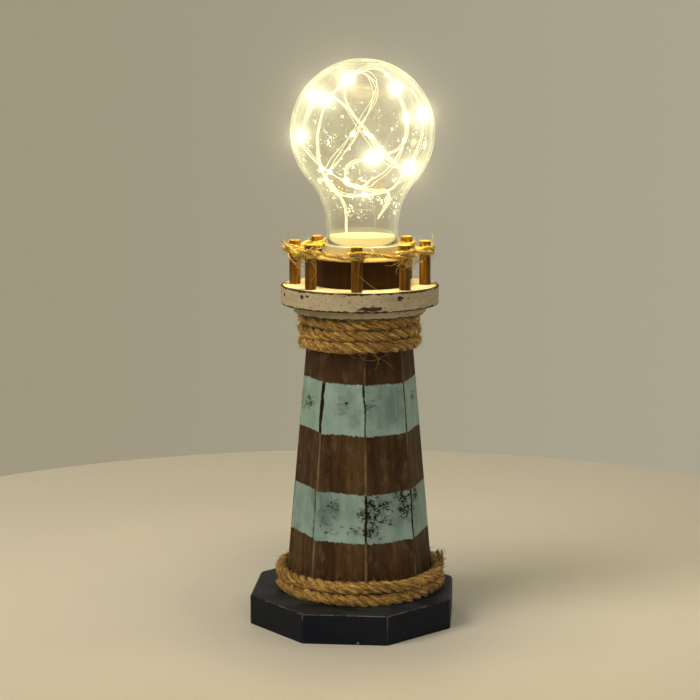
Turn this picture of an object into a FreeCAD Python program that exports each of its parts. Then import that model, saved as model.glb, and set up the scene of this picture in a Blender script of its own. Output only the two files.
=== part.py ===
import FreeCAD, Part
import math
import os
import Sketcher

# Garden lighthouse ornament: a tapered eight-sided wooden tower on an octagonal plinth, a round
# gallery with a lashed rail, and a battery lit bulb that stands loose in the lantern cup.
# Millimetres, +Z up, origin at the middle of the plinth's underside, front along -Y.

SIZES = {
    "plinthCorner": (46.5, "middle of the plinth to a corner"),
    "plinthHeight": (12.6, "thickness of the plinth"),
    "plinthEase": (0.7, "sanded edge of the plinth"),
    "towerOffsetX": (2.4, "tower axis right of the plinth's middle"),
    "towerOffsetY": (5.3, "tower axis behind the plinth's middle"),
    "towerTurn": (9.5, "degrees from the front to the tower's front edge"),
    "towerFootCorner": (32.4, "tower axis to a corner at the foot"),
    "towerHeadCorner": (21.8, "tower axis to a corner at the head"),
    "towerHeight": (120.1, "height of the tower"),
    "towerEase": (0.9, "sanded long edges of the tower"),
    "screwSpacing": (26.0, "between the two screws under the tower"),
    "screwLength": (28.0, "head to tip of a wood screw"),
    "screwRadius": (1.9, "shank of a wood screw"),
    "screwHeadRadius": (3.8, "countersunk head of a wood screw"),
    "screwHeadDepth": (2.4, "height of the countersunk head"),
    "screwSink": (0.8, "how far a screw head lies under the surface"),
    "screwSlotReach": (2.4, "half length of the driver slot"),
    "screwSlotWidth": (1.0, "width of the driver slot"),
    "screwSlotDepth": (1.2, "depth of the driver slot"),
    "dowelRadius": (4.0, "dowel that holds the gallery"),
    "dowelInTower": (14.0, "depth of the dowel in the tower"),
    "dowelInDeck": (4.5, "depth of the dowel in the gallery deck"),
    "underDeckRadius": (28.4, "moulding under the gallery deck"),
    "underDeckHeight": (3.9, "thickness of the moulding"),
    "underDeckEase": (0.8, "sloped lower edge of the moulding"),
    "deckRadius": (33.8, "gallery deck"),
    "deckHeight": (8.1, "thickness of the gallery deck"),
    "deckEase": (0.4, "worn edges of the gallery deck"),
    "lanternOffset": (1.1, "lantern cup right of the tower axis"),
    "cupRadius": (20.6, "outside of the lantern cup"),
    "cupHeight": (12.7, "height of the lantern cup"),
    "cupEase": (1.6, "rounded top edge of the lantern cup"),
    "cupPlay": (0.4, "gap round the battery holder in the cup"),
    "postCount": (8, "rail posts"),
    "postRadius": (2.4, "rail post"),
    "postHeight": (18.8, "rail post above the deck"),
    "postEase": (0.3, "eased top of a rail post"),
    "postInset": (6.0, "rim of the gallery deck to the middle of a post"),
    "postTurn": (1.8, "degrees from the front to the first post"),
    "tenonRadius": (1.5, "tenon of a rail post"),
    "tenonLength": (4.5, "depth of the tenon in the deck"),
    "twineRadius": (0.8, "rail twine"),
    "twineHeight": (13.9, "middle of the lower strand above the deck"),
    "twineClimb": (2.4, "climb of the twine round a post"),
    "twineGap": (0.1, "twine to post"),
    "ropeRadius": (2.2, "tower rope"),
    "neckRopeTurns": (3, "turns of rope seen under the gallery"),
    "neckRopePitch": (4.9, "between turns of the neck rope"),
    "neckRopeBite": (0.2, "inside of the neck rope within the tower's head corners"),
    "neckRopeStart": (268.0, "degrees from the front to the neck rope's lower end"),
    "footRopeTurns": (2, "turns of rope seen on the plinth"),
    "footRopePitch": (4.9, "between turns of the foot rope"),
    "footRopeClear": (0.1, "inside of the foot rope's lower turn outside the tower's foot corners"),
    "footRopeLean": (0.5, "how far each turn of the foot rope lies further in"),
    "footRopeStart": (284.0, "degrees from the front to the foot rope's lower end"),
    "footRopeTail": (5.5, "rise of the foot rope's loose end above its last turn"),
    "footRopeTailTurn": (45.0, "degrees round the tower that the loose end takes to rise"),
    "ropeGap": (0.08, "rope to the wood that it lies on"),
    "bulbRadius": (30.6, "outside of the globe"),
    "bulbWall": (1.0, "wall of the bulb"),
    "bulbSweep": (30.0, "hollow curve from the neck to the globe"),
    "neckRadius": (15.2, "outside of the bulb's neck"),
    "neckLength": (7.5, "straight part of the neck"),
    "holderRadius": (15.2, "outside of the battery holder"),
    "holderHeight": (16.8, "battery holder up to the bulb's edge"),
    "holderWall": (1.4, "wall of the battery holder"),
    "spigotHeight": (4.1, "part of the holder inside the neck"),
    "spigotPlay": (0.25, "gap round the spigot"),
    "coverThickness": (1.4, "battery cover"),
    "coverRecess": (0.7, "battery cover above the holder's foot"),
    "coverPlay": (0.15, "gap round the battery cover"),
    "coverScrewRadius": (1.0, "cover screw"),
    "coverScrewHead": (1.9, "head of the cover screw"),
    "coverScrewHeadHeight": (0.55, "height of the cover screw's head"),
    "coverScrewLength": (6.0, "cover screw below its head"),
    "bossRadius": (2.4, "screw boss of the battery holder"),
    "bossClear": (1.2, "screw boss to the slide switch"),
    "cellRadius": (5.8, "button cell"),
    "cellHeight": (5.4, "height of a button cell"),
    "cellCrimp": (0.6, "crimped shoulder of a button cell"),
    "cellCap": (0.45, "cap of a button cell, standing proud"),
    "cellRim": (0.3, "sloped rim of a button cell"),
    "cellPlay": (0.2, "gap round a button cell"),
    "cellCount": (3, "button cells in the stack"),
    "cellShift": (4.6, "cell stack left of the bulb's axis"),
    "contactThickness": (0.3, "contact plates"),
    "contactRadius": (4.2, "contact plates"),
    "contactCrown": (1.9, "raised middle of the spring plate"),
    "tubeWall": (1.1, "wall of the cell tube"),
    "switchLength": (8.6, "slide switch"),
    "switchWidth": (4.2, "slide switch"),
    "switchHeight": (3.6, "slide switch"),
    "switchShift": (8.4, "slide switch right of the bulb's axis"),
    "switchTrackDepth": (2.2, "depth of the knob's track in the switch"),
    "switchTravel": (2.0, "travel of the switch knob"),
    "knobLength": (2.4, "switch knob along its travel"),
    "knobWidth": (1.8, "switch knob across its travel"),
    "knobClear": (0.3, "knob above the holder's foot"),
    "knobPlay": (0.2, "gap round the switch knob"),
    "knobEase": (0.25, "sloped end of the switch knob"),
    "wireRadius": (0.25, "wire of the light string"),
    "wireHoleRadius": (0.9, "hole for the wire in the holder"),
    "wireShift": (6.8, "hole for the wire left of the bulb's axis"),
    "beadRadius": (1.0, "resin drop over each light"),
    "beadReach": (1.7, "middle of a resin drop to its tip on the wire"),
}


class Size:
    """A size as an expression on the sheet, with its present value."""

    def __init__(self, text, value):
        self.text = text
        self.value = float(value)

    def joined(self, sign, other, value):
        return Size("(%s %s %s)" % (self.text, sign, as_size(other).text), value)

    def __add__(self, other):
        return self.joined("+", other, self.value + as_size(other).value)

    def __sub__(self, other):
        return self.joined("-", other, self.value - as_size(other).value)

    def __mul__(self, other):
        return self.joined("*", other, self.value * as_size(other).value)

    def __truediv__(self, other):
        return self.joined("/", other, self.value / as_size(other).value)


def as_size(value):
    if isinstance(value, Size):
        return value
    return Size(repr(float(value)), value)


doc = FreeCAD.newDocument("garden_lighthouse")
sheet = doc.addObject("Spreadsheet::Sheet", "Sizes")
size = {}
for row, (alias, (value, meaning)) in enumerate(SIZES.items(), start=1):
    sheet.set("A%d" % row, meaning)
    sheet.set("B%d" % row, str(value))
    sheet.setAlias("B%d" % row, alias)
    size[alias] = Size("Sizes." + alias, value)
doc.recompute()

ZERO = as_size(0)
TINY = 0.001
BEYOND = 1.0
SIDE_ANGLE = 45.0
QUARTER_ANGLE = 90.0
ROPE_SIDES = 8
TWINE_SIDES = 6
WIRE_SIDES = 4
DROP_SIDES = 6
UP = FreeCAD.Vector(0, 0, 1)
pieces = []


# ---- helpers ---------------------------------------------------------------------------------

def bind(thing, path, value):
    """Ties one property to the sheet."""
    thing.setExpression(path, as_size(value).text)


def turned(thing, path, degrees):
    """Ties a rotation about Z to the sheet."""
    bind(thing, path + ".Rotation.Angle", degrees)


def new_body(label, at=(ZERO, ZERO, ZERO), turn=None):
    """A body for one piece, standing at a place that follows the sheet."""
    body = doc.addObject("PartDesign::Body", label)
    body.Label = label
    if turn is not None:
        body.Placement = FreeCAD.Placement(FreeCAD.Vector(), FreeCAD.Rotation(UP, turn.value))
        turned(body, "Placement", turn)
    for axis, value in zip("xyz", at):
        bind(body, "Placement.Base." + axis, value)
    pieces.append(body)
    return body


def origin_plane(body, role):
    return [one for one in body.Origin.OriginFeatures if one.Role == role][0]


def new_sketch(body, name, role="XY_Plane", lift=ZERO):
    """A sketch on one of the body's own planes, lifted along the plane's normal."""
    sketch = body.newObject("Sketcher::SketchObject", name)
    sketch.AttachmentSupport = [(origin_plane(body, role), "")]
    sketch.MapMode = "FlatFace"
    bind(sketch, "AttachmentOffset.Base.z", lift)
    return sketch


def dimension(sketch, kind, value, *picks):
    """A driving dimension, tied to the sheet."""
    index = sketch.addConstraint(Sketcher.Constraint(kind, *picks, as_size(value).value))
    bind(sketch, "Constraints[%d]" % index, value)


def place_point(sketch, geometry, point, x, y):
    """Holds a point of a sketch at x, y from the sketch's origin."""
    if x.value == 0:
        sketch.addConstraint(Sketcher.Constraint("PointOnObject", geometry, point, -2))
    else:
        dimension(sketch, "DistanceX", x, -1, 1, geometry, point)
    if y.value == 0:
        sketch.addConstraint(Sketcher.Constraint("PointOnObject", geometry, point, -1))
    else:
        dimension(sketch, "DistanceY", y, -1, 1, geometry, point)


def draw_circle(sketch, radius, x=ZERO, y=ZERO):
    centre = FreeCAD.Vector(x.value, y.value, 0)
    ring = sketch.addGeometry(Part.Circle(centre, UP, radius.value), False)
    place_point(sketch, ring, 3, x, y)
    dimension(sketch, "Radius", radius, ring)
    return ring


def draw_outline(sketch, corners):
    """A closed outline of straight lines through corners, each held by its own two sizes."""
    corners = [(as_size(x), as_size(y)) for x, y in corners]
    points = [FreeCAD.Vector(x.value, y.value, 0) for x, y in corners]
    count = len(points)
    lines = []
    for k in range(count):
        lines.append(sketch.addGeometry(Part.LineSegment(points[k], points[(k + 1) % count]), False))
    for k in range(count):
        follower = lines[(k + 1) % count]
        sketch.addConstraint(Sketcher.Constraint("Coincident", lines[k], 2, follower, 1))
    for k, (x, y) in enumerate(corners):
        place_point(sketch, lines[k], 1, x, y)


def draw_rectangle(sketch, x_low, x_high, half_width):
    """A rectangle from x_low to x_high, centred across the X axis."""
    points = [
        FreeCAD.Vector(x_low.value, -half_width.value, 0),
        FreeCAD.Vector(x_high.value, -half_width.value, 0),
        FreeCAD.Vector(x_high.value, half_width.value, 0),
        FreeCAD.Vector(x_low.value, half_width.value, 0),
    ]
    lines = [
        sketch.addGeometry(Part.LineSegment(points[k], points[(k + 1) % 4]), False)
        for k in range(4)
    ]
    for k in range(4):
        sketch.addConstraint(Sketcher.Constraint("Coincident", lines[k], 2, lines[(k + 1) % 4], 1))
    for kind, side in (("Horizontal", 0), ("Horizontal", 2), ("Vertical", 3)):
        sketch.addConstraint(Sketcher.Constraint(kind, lines[side]))
    sketch.addConstraint(Sketcher.Constraint("Symmetric", lines[1], 1, lines[1], 2, -1))
    dimension(sketch, "Distance", half_width * 2, lines[1])
    dimension(sketch, "Distance", x_high - x_low, lines[0])
    dimension(sketch, "DistanceX", x_high, -1, 1, lines[1], 1)


def draw_slot(sketch, x, half_length, half_width):
    """A rectangle centred on x, 0 and long across the X axis."""
    draw_rectangle(sketch, x - half_width, x + half_width, half_length)


def draw_octagon(sketch, corner):
    """A regular octagon with its flats square to the sketch's axes."""
    points = []
    for k in range(8):
        angle = math.radians(SIDE_ANGLE * (k + 0.5))
        points.append(FreeCAD.Vector(corner.value * math.cos(angle), corner.value * math.sin(angle), 0))
    lines = [
        sketch.addGeometry(Part.LineSegment(points[k], points[(k + 1) % 8]), False)
        for k in range(8)
    ]
    rim = sketch.addGeometry(Part.Circle(FreeCAD.Vector(), UP, corner.value), True)
    sketch.addConstraint(Sketcher.Constraint("Coincident", rim, 3, -1, 1))
    for k in range(8):
        sketch.addConstraint(Sketcher.Constraint("Coincident", lines[k], 2, lines[(k + 1) % 8], 1))
        sketch.addConstraint(Sketcher.Constraint("PointOnObject", lines[k], 1, rim))
    for k in range(1, 8):
        sketch.addConstraint(Sketcher.Constraint("Equal", lines[0], lines[k]))
    sketch.addConstraint(Sketcher.Constraint("Vertical", lines[7]))
    dimension(sketch, "Radius", corner, rim)


def pad(body, sketch, length, backwards=False):
    feature = body.newObject("PartDesign::Pad", sketch.Name + "Pad")
    feature.Profile = sketch
    bind(feature, "Length", length)
    feature.Reversed = backwards
    return feature


def pocket(body, sketch, depth, backwards=False):
    """Cuts against the sketch's normal, or along it when backwards."""
    feature = body.newObject("PartDesign::Pocket", sketch.Name + "Cut")
    feature.Profile = sketch
    bind(feature, "Length", depth)
    feature.Reversed = backwards
    return feature


def spin(body, sketch, kind="PartDesign::Revolution"):
    """Turns an outline on the XZ plane about Z, as solid or as a groove."""
    feature = body.newObject(kind, sketch.Name + "Turned")
    feature.Profile = sketch
    feature.ReferenceAxis = (sketch, ["V_Axis"])
    feature.Angle = 360
    return feature


def ease(body, feature, kind, amount, wanted):
    """Rounds or bevels the edges that pass a test."""
    doc.recompute()
    names = []
    for number, edge in enumerate(feature.Shape.Edges, start=1):
        if wanted(edge):
            names.append("Edge%d" % number)
    eased = body.newObject("PartDesign::" + kind, feature.Name + kind)
    eased.Base = (feature, names)
    bind(eased, "Radius" if kind == "Fillet" else "Size", amount)
    return eased


def on_level(level):
    """A test for edges that lie flat at one height."""
    def test(edge):
        box = edge.BoundBox
        return abs(box.ZMin - level.value) < TINY and abs(box.ZMax - level.value) < TINY
    return test


def rim_at(level, radius):
    """A test for a round edge of one radius at one height."""
    flat = on_level(level)

    def test(edge):
        return flat(edge) and hasattr(edge.Curve, "Radius") and abs(edge.Curve.Radius - radius.value) < TINY
    return test


# ---- levels ----------------------------------------------------------------------------------

tower_x = size["towerOffsetX"]
tower_y = size["towerOffsetY"]
tower_foot = size["plinthHeight"]
tower_head = tower_foot + size["towerHeight"]
deck_foot = tower_head + size["underDeckHeight"]
deck_top = deck_foot + size["deckHeight"]
neck_foot = deck_top + size["holderHeight"]
lantern_x = tower_x + size["lanternOffset"]
globe_level = size["neckLength"] + Size(
    "sqrt((Sizes.bulbSweep + Sizes.bulbRadius)^2 - (Sizes.bulbSweep + Sizes.neckRadius)^2)",
    math.sqrt(
        (size["bulbSweep"].value + size["bulbRadius"].value) ** 2
        - (size["bulbSweep"].value + size["neckRadius"].value) ** 2
    ),
)
tower_front_edge = size["towerTurn"] - SIDE_ANGLE / 2
post_circle = size["deckRadius"] - size["postInset"]
neck_rope_seat = size["towerHeadCorner"] - size["neckRopeBite"]
foot_rope_seat = size["towerFootCorner"] + size["footRopeClear"]


# ---- plinth and its screws -------------------------------------------------------------------

def make_plinth():
    body = new_body("plinth")
    outline = new_sketch(body, "plinthOutline")
    draw_octagon(outline, size["plinthCorner"])
    slab = pad(body, outline, size["plinthHeight"])
    ease(body, slab, "Chamfer", size["plinthEase"], lambda edge: edge.BoundBox.ZMax > TINY)
    doc.recompute()
    # the screw holes lie on the tower's own line, either side of its axis
    bore_depth = size["plinthHeight"]
    sink_depth = size["screwSink"] + size["screwHeadDepth"]
    for name, radius, depth in (
        ("screwBores", size["screwRadius"], bore_depth),
        ("screwSinks", size["screwHeadRadius"], sink_depth),
    ):
        sketch = new_sketch(body, name)
        sketch.AttachmentOffset = FreeCAD.Placement(
            FreeCAD.Vector(), FreeCAD.Rotation(UP, tower_front_edge.value)
        )
        turned(sketch, "AttachmentOffset", tower_front_edge)
        bind(sketch, "AttachmentOffset.Base.x", tower_x)
        bind(sketch, "AttachmentOffset.Base.y", tower_y)
        draw_circle(sketch, radius, size["screwSpacing"] / 2)
        draw_circle(sketch, radius, size["screwSpacing"] / 2 * -1)
        pocket(body, sketch, depth, backwards=True)


def make_plinth_screw(number, side):
    """A countersunk wood screw, head down, its tip in the tower."""
    angle = tower_front_edge
    reach = size["screwSpacing"] / 2 * side
    along = Size("(%s * cos(%s * 1 deg))" % (reach.text, angle.text),
                 reach.value * math.cos(math.radians(angle.value)))
    across = Size("(%s * sin(%s * 1 deg))" % (reach.text, angle.text),
                  reach.value * math.sin(math.radians(angle.value)))
    body = new_body("plinth_screw_%d" % number, (tower_x + along, tower_y + across, size["screwSink"]))
    outline = new_sketch(body, "screw%dOutline" % number, "XZ_Plane")
    tip = size["screwLength"]
    draw_outline(outline, [
        (ZERO, ZERO),
        (size["screwHeadRadius"], ZERO),
        (size["screwRadius"], size["screwHeadDepth"]),
        (size["screwRadius"], tip - size["screwRadius"] * 2),
        (ZERO, tip),
    ])
    spin(body, outline)
    drive = new_sketch(body, "screw%dDrive" % number)
    draw_rectangle(drive, size["screwSlotReach"] * -1, size["screwSlotReach"], size["screwSlotWidth"] / 2)
    pocket(body, drive, size["screwSlotDepth"], backwards=True)


# ---- tower -----------------------------------------------------------------------------------

def make_tower():
    body = new_body("tower", (tower_x, tower_y, tower_foot), tower_front_edge)
    foot = new_sketch(body, "towerFoot")
    draw_octagon(foot, size["towerFootCorner"])
    trunk = pad(body, foot, size["towerHeight"])
    doc.recompute()
    # each side leans in, so that the head comes out at its own corner size
    sides = []
    for number, face in enumerate(trunk.Shape.Faces, start=1):
        if face.BoundBox.ZLength > TINY:
            sides.append("Face%d" % number)
    lean = body.newObject("PartDesign::Draft", "towerLean")
    lean.Base = (trunk, sides)
    lean.NeutralPlane = (origin_plane(body, "XY_Plane"), [""])
    bind(lean, "Angle", Size(
        "atan((Sizes.towerFootCorner - Sizes.towerHeadCorner) * cos(%s deg) / Sizes.towerHeight)"
        % (SIDE_ANGLE / 2),
        0,
    ))
    ease(body, lean, "Fillet", size["towerEase"], lambda edge: edge.BoundBox.ZLength > TINY)
    doc.recompute()
    # the corners are taken down to a round seat where the neck rope is wound
    seat = new_sketch(body, "ropeSeat", "XZ_Plane")
    wound = size["neckRopePitch"] * (size["neckRopeTurns"] - 1) + size["ropeRadius"] * 2
    low = size["towerHeight"] - wound - size["ropeGap"]
    far = size["towerFootCorner"] + BEYOND
    over = size["towerHeight"] + BEYOND
    draw_outline(seat, [
        (neck_rope_seat, low),
        (far, low),
        (far, over),
        (neck_rope_seat, over),
    ])
    spin(body, seat, "PartDesign::Groove")
    pilots = new_sketch(body, "screwPilots")
    draw_circle(pilots, size["screwRadius"], size["screwSpacing"] / 2)
    draw_circle(pilots, size["screwRadius"], size["screwSpacing"] / 2 * -1)
    pocket(body, pilots, size["screwSink"] + size["screwLength"] - tower_foot, backwards=True)
    socket = new_sketch(body, "dowelSocket", lift=size["towerHeight"])
    draw_circle(socket, size["dowelRadius"])
    pocket(body, socket, size["dowelInTower"])


def make_dowel():
    dowel = doc.addObject("Part::Cylinder", "gallery_dowel")
    dowel.Label = "gallery_dowel"
    bind(dowel, "Radius", size["dowelRadius"])
    bind(dowel, "Height", size["dowelInTower"] + size["underDeckHeight"] + size["dowelInDeck"])
    bind(dowel, "Placement.Base.x", tower_x)
    bind(dowel, "Placement.Base.y", tower_y)
    bind(dowel, "Placement.Base.z", tower_head - size["dowelInTower"])
    pieces.append(dowel)


# ---- gallery ---------------------------------------------------------------------------------

def make_under_deck():
    body = new_body("under_deck", (tower_x, tower_y, tower_head))
    rings = new_sketch(body, "underDeckRings")
    draw_circle(rings, size["underDeckRadius"])
    draw_circle(rings, size["dowelRadius"])
    disc = pad(body, rings, size["underDeckHeight"])
    ease(body, disc, "Chamfer", size["underDeckEase"], rim_at(ZERO, size["underDeckRadius"]))


def make_gallery_deck():
    body = new_body("gallery_deck", (tower_x, tower_y, deck_foot), size["postTurn"])
    rim = new_sketch(body, "deckRim")
    draw_circle(rim, size["deckRadius"])
    disc = pad(body, rim, size["deckHeight"])
    ease(body, disc, "Chamfer", size["deckEase"], lambda edge: edge.Closed)
    doc.recompute()
    socket = new_sketch(body, "deckDowelSocket")
    draw_circle(socket, size["dowelRadius"])
    pocket(body, socket, size["dowelInDeck"], backwards=True)
    mortise = new_sketch(body, "postMortise", lift=size["deckHeight"])
    draw_circle(mortise, size["tenonRadius"], ZERO, post_circle * -1)
    cut = pocket(body, mortise, size["tenonLength"])
    ring = body.newObject("PartDesign::PolarPattern", "postMortises")
    ring.Originals = [cut]
    ring.Axis = (mortise, ["N_Axis"])
    ring.Angle = 360
    bind(ring, "Occurrences", size["postCount"])
    body.Tip = ring


def post_angle(number):
    """Degrees about the tower axis, counted from the front post, turning left to right."""
    step = Size("(360 / Sizes.postCount)", 360 / size["postCount"].value)
    return size["postTurn"] + step * number


def make_rail_post(number):
    angle = post_angle(number)
    reach = post_circle
    x = Size("(%s * sin(%s * 1 deg))" % (reach.text, angle.text),
             reach.value * math.sin(math.radians(angle.value)))
    y = Size("(%s * cos(%s * 1 deg))" % (reach.text, angle.text),
             reach.value * math.cos(math.radians(angle.value)))
    body = new_body("rail_post_%d" % (number + 1), (tower_x + x, tower_y - y, deck_top))
    outline = new_sketch(body, "post%dOutline" % (number + 1), "XZ_Plane")
    draw_outline(outline, [
        (ZERO, size["tenonLength"] * -1),
        (size["tenonRadius"], size["tenonLength"] * -1),
        (size["tenonRadius"], ZERO),
        (size["postRadius"], ZERO),
        (size["postRadius"], size["postHeight"]),
        (ZERO, size["postHeight"]),
    ])
    post = spin(body, outline)
    ease(body, post, "Chamfer", size["postEase"], rim_at(size["postHeight"], size["postRadius"]))


def make_lantern_cup():
    body = new_body("lantern_cup", (lantern_x, tower_y, deck_top))
    outline = new_sketch(body, "cupOutline", "XZ_Plane")
    inside = size["holderRadius"] + size["cupPlay"]
    draw_outline(outline, [
        (inside, ZERO),
        (size["cupRadius"], ZERO),
        (size["cupRadius"], size["cupHeight"]),
        (inside, size["cupHeight"]),
    ])
    ring = spin(body, outline)
    ease(body, ring, "Fillet", size["cupEase"], rim_at(size["cupHeight"], size["cupRadius"]))


# ---- rope and twine --------------------------------------------------------------------------

def biarc(start, start_way, end, end_way):
    """Two arcs that leave start along start_way and reach end along end_way."""
    gap = end - start
    span = gap.dot(gap)
    bend = 2 * (1 - start_way.dot(end_way))
    lean = 2 * gap.dot(start_way + end_way)
    reach = 2 * span / (lean + math.sqrt(lean * lean + 4 * bend * span))
    joint = (start + end + (start_way - end_way) * reach) * 0.5
    return [
        bow(start, start + start_way * reach, joint),
        bow(joint, end - end_way * reach, end),
    ]


def bow(start, corner, end):
    """The arc from start to end that is tangent to both legs of the corner."""
    leg = (corner - start).normalize()
    chord = (end - start).normalize()
    weight = leg.dot(chord)
    middle = (start + end + corner * (2 * weight)) * (1 / (2 + 2 * weight))
    return Part.Arc(start, middle, end).toShape()


def tube(edges, radius, sides):
    """One unbroken tube of a many-sided section along joined edges."""
    path = Part.Wire(edges)
    first = edges[0]
    start = first.valueAt(first.FirstParameter)
    way = first.tangentAt(first.FirstParameter)
    section = Part.makePolygon(many_sided(start, way, radius, sides))
    return path.makePipeShell([section], True, False)


def many_sided(middle, way, radius, sides):
    """Corners of a closed regular outline, square to a way."""
    side = UP if abs(way.z) < abs(way.x) + abs(way.y) else FreeCAD.Vector(1, 0, 0)
    across = way.cross(side).normalize()
    rise = across.cross(way).normalize()
    corners = []
    for k in range(sides + 1):
        angle = 2 * math.pi * (k + 0.5) / sides
        corners.append(middle + across * (radius * math.cos(angle)) + rise * (radius * math.sin(angle)))
    return corners


def least_gap(edges, radius, apart):
    """Least clear distance between stretches of a tube that lie further apart along it."""
    points = []
    run = 0.0
    for edge in edges:
        steps = max(2, int(edge.Length / radius))
        points += [(run + edge.Length * k / steps, edge.valueAt(edge.getParameterByLength(edge.Length * k / steps)))
                   for k in range(steps)]
        run += edge.Length
    least = 1e9
    for number, (place, point) in enumerate(points):
        for other_place, other in points[number + 1:]:
            if other_place - place > apart:
                least = min(least, point.distanceToPoint(other))
    return least - 2 * radius


def add_wound(label, edges, radius, sides, apart, place):
    """A wound piece as one solid, with its gap to itself printed."""
    feature = doc.addObject("Part::Feature", label)
    feature.Label = label
    feature.Shape = tube(edges, radius, sides)
    feature.Placement = FreeCAD.Placement(place, FreeCAD.Rotation())
    pieces.append(feature)
    print("%s: length %.1f, least gap to itself %.2f" % (
        label, sum(edge.Length for edge in edges), least_gap(edges, radius, apart)))


def wound_edges(stops, lead):
    """Biarcs through points with their ways, with a straight end of one lead at each side."""
    edges = []
    first, first_way = stops[0]
    edges.append(Part.LineSegment(first - first_way * lead, first).toShape())
    for (a, a_way), (b, b_way) in zip(stops, stops[1:]):
        edges += biarc(a, a_way, b, b_way)
    last, last_way = stops[-1]
    edges.append(Part.LineSegment(last, last + last_way * lead).toShape())
    return edges


def wound_stops(strands, spot):
    """Stops a quarter turn apart, from the first strand's front half to the last one's."""
    stops = []
    for quarter in range(4 * strands - 1):
        before = spot(quarter - TINY) if quarter else spot(0)
        way = (spot(quarter + TINY) - before).normalize()
        stops.append((spot(quarter), way))
    return stops


def climbed(quarter):
    """Turns climbed so far: level over the front half turn, and one step over the back half."""
    whole, rest = divmod(quarter, 4)
    share = min(max((rest - 2) / 2, 0), 1)
    return whole + share * share * (3 - 2 * share)


def ring_point(radius, degrees, height):
    """A point round the axis, its angle counted from the front towards +X."""
    angle = math.radians(degrees)
    return FreeCAD.Vector(radius * math.sin(angle), -radius * math.cos(angle), height)


def make_neck_rope():
    radius = size["ropeRadius"].value
    centre = neck_rope_seat.value + size["ropeGap"].value + radius
    pitch = size["neckRopePitch"].value
    strands = int(size["neckRopeTurns"].value)
    start = size["neckRopeStart"].value
    low = -size["ropeGap"].value - radius - pitch * (strands - 1)

    def spot(quarter):
        return ring_point(centre, start + QUARTER_ANGLE * quarter, low + pitch * climbed(quarter))

    edges = wound_edges(wound_stops(strands, spot), 2 * radius)
    place = FreeCAD.Vector(tower_x.value, tower_y.value, tower_head.value)
    add_wound("neck_rope", edges, radius, ROPE_SIDES, math.pi * centre, place)


def make_foot_rope():
    """Two turns laid on the plinth; the upper end rises beside the tower's back corner."""
    radius = size["ropeRadius"].value
    centre = foot_rope_seat.value + radius
    pitch = size["footRopePitch"].value
    strands = int(size["footRopeTurns"].value)
    lean = size["footRopeLean"].value
    start = size["footRopeStart"].value
    low = size["ropeGap"].value + radius

    def spot(quarter):
        up = climbed(quarter)
        return ring_point(centre - lean * up, start + QUARTER_ANGLE * quarter, low + pitch * up)

    stops = wound_stops(strands, spot)
    # the loose end rises out of the last turn, at half a right angle by its tip
    last = 4 * strands - 2 + size["footRopeTailTurn"].value / QUARTER_ANGLE
    tip = spot(last)
    tip.z = stops[-1][0].z + size["footRopeTail"].value
    ahead = spot(last + TINY) - spot(last - TINY)
    ahead.z = 0
    stops.append((tip, (ahead.normalize() + UP).normalize()))
    edges = wound_edges(stops, 2 * radius)
    place = FreeCAD.Vector(tower_x.value, tower_y.value, tower_foot.value)
    add_wound("foot_rope", edges, radius, ROPE_SIDES, math.pi * centre, place)


def make_rail_twine():
    """Twine that runs outside the posts and takes a full extra turn round each of them."""
    count = int(size["postCount"].value)
    radius = size["twineRadius"].value
    wrap = size["postRadius"].value + size["twineGap"].value + radius
    low = size["twineHeight"].value
    climb = size["twineClimb"].value
    step = 360 / count
    sweep = 360 + step
    rise = climb / (math.radians(sweep) * wrap)
    pieces_a_wrap = 5
    wraps = []
    back_post = count // 2
    for number in range(back_post, back_post + count):
        middle = post_angle(number).value
        centre = ring_point(post_circle.value, middle, 0)
        stops = []
        for k in range(pieces_a_wrap + 1):
            share = k / pieces_a_wrap
            angle = math.radians(middle - step / 2 + sweep * share)
            out = FreeCAD.Vector(math.sin(angle), -math.cos(angle), 0)
            way = FreeCAD.Vector(math.cos(angle), math.sin(angle), 0)
            point = centre + out * wrap + UP * (low + climb * share)
            stops.append((point, (way + UP * rise).normalize()))
        wraps.append(stops)
    # the twine is tied at the back post: the last span comes home to it and stops short
    edges = []
    for number, stops in enumerate(wraps):
        if number:
            edges += ramp(wraps[number - 1][-1], stops[0])
        for (a, a_way), (b, b_way) in zip(stops, stops[1:]):
            edges += biarc(a, a_way, b, b_way)
    tail_point, tail_way = wraps[-1][-1]
    home_point, home_way = wraps[0][0]
    edges += ramp((tail_point, tail_way), (home_point - home_way * (3 * radius), home_way))[:3]
    place = FreeCAD.Vector(tower_x.value, tower_y.value, deck_top.value)
    add_wound("rail_twine", edges, radius, TWINE_SIDES, math.pi * wrap, place)


def ramp(leaving, arriving):
    """The twine from one post to the next: a smooth run that drops back to the lower level."""
    point, way = leaving
    target, target_way = arriving
    middle = (point + target) * 0.5
    slope = (target - point).normalize()
    return biarc(point, way, middle, slope) + biarc(middle, slope, target, target_way)


# ---- bulb and what it stands on --------------------------------------------------------------

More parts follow.
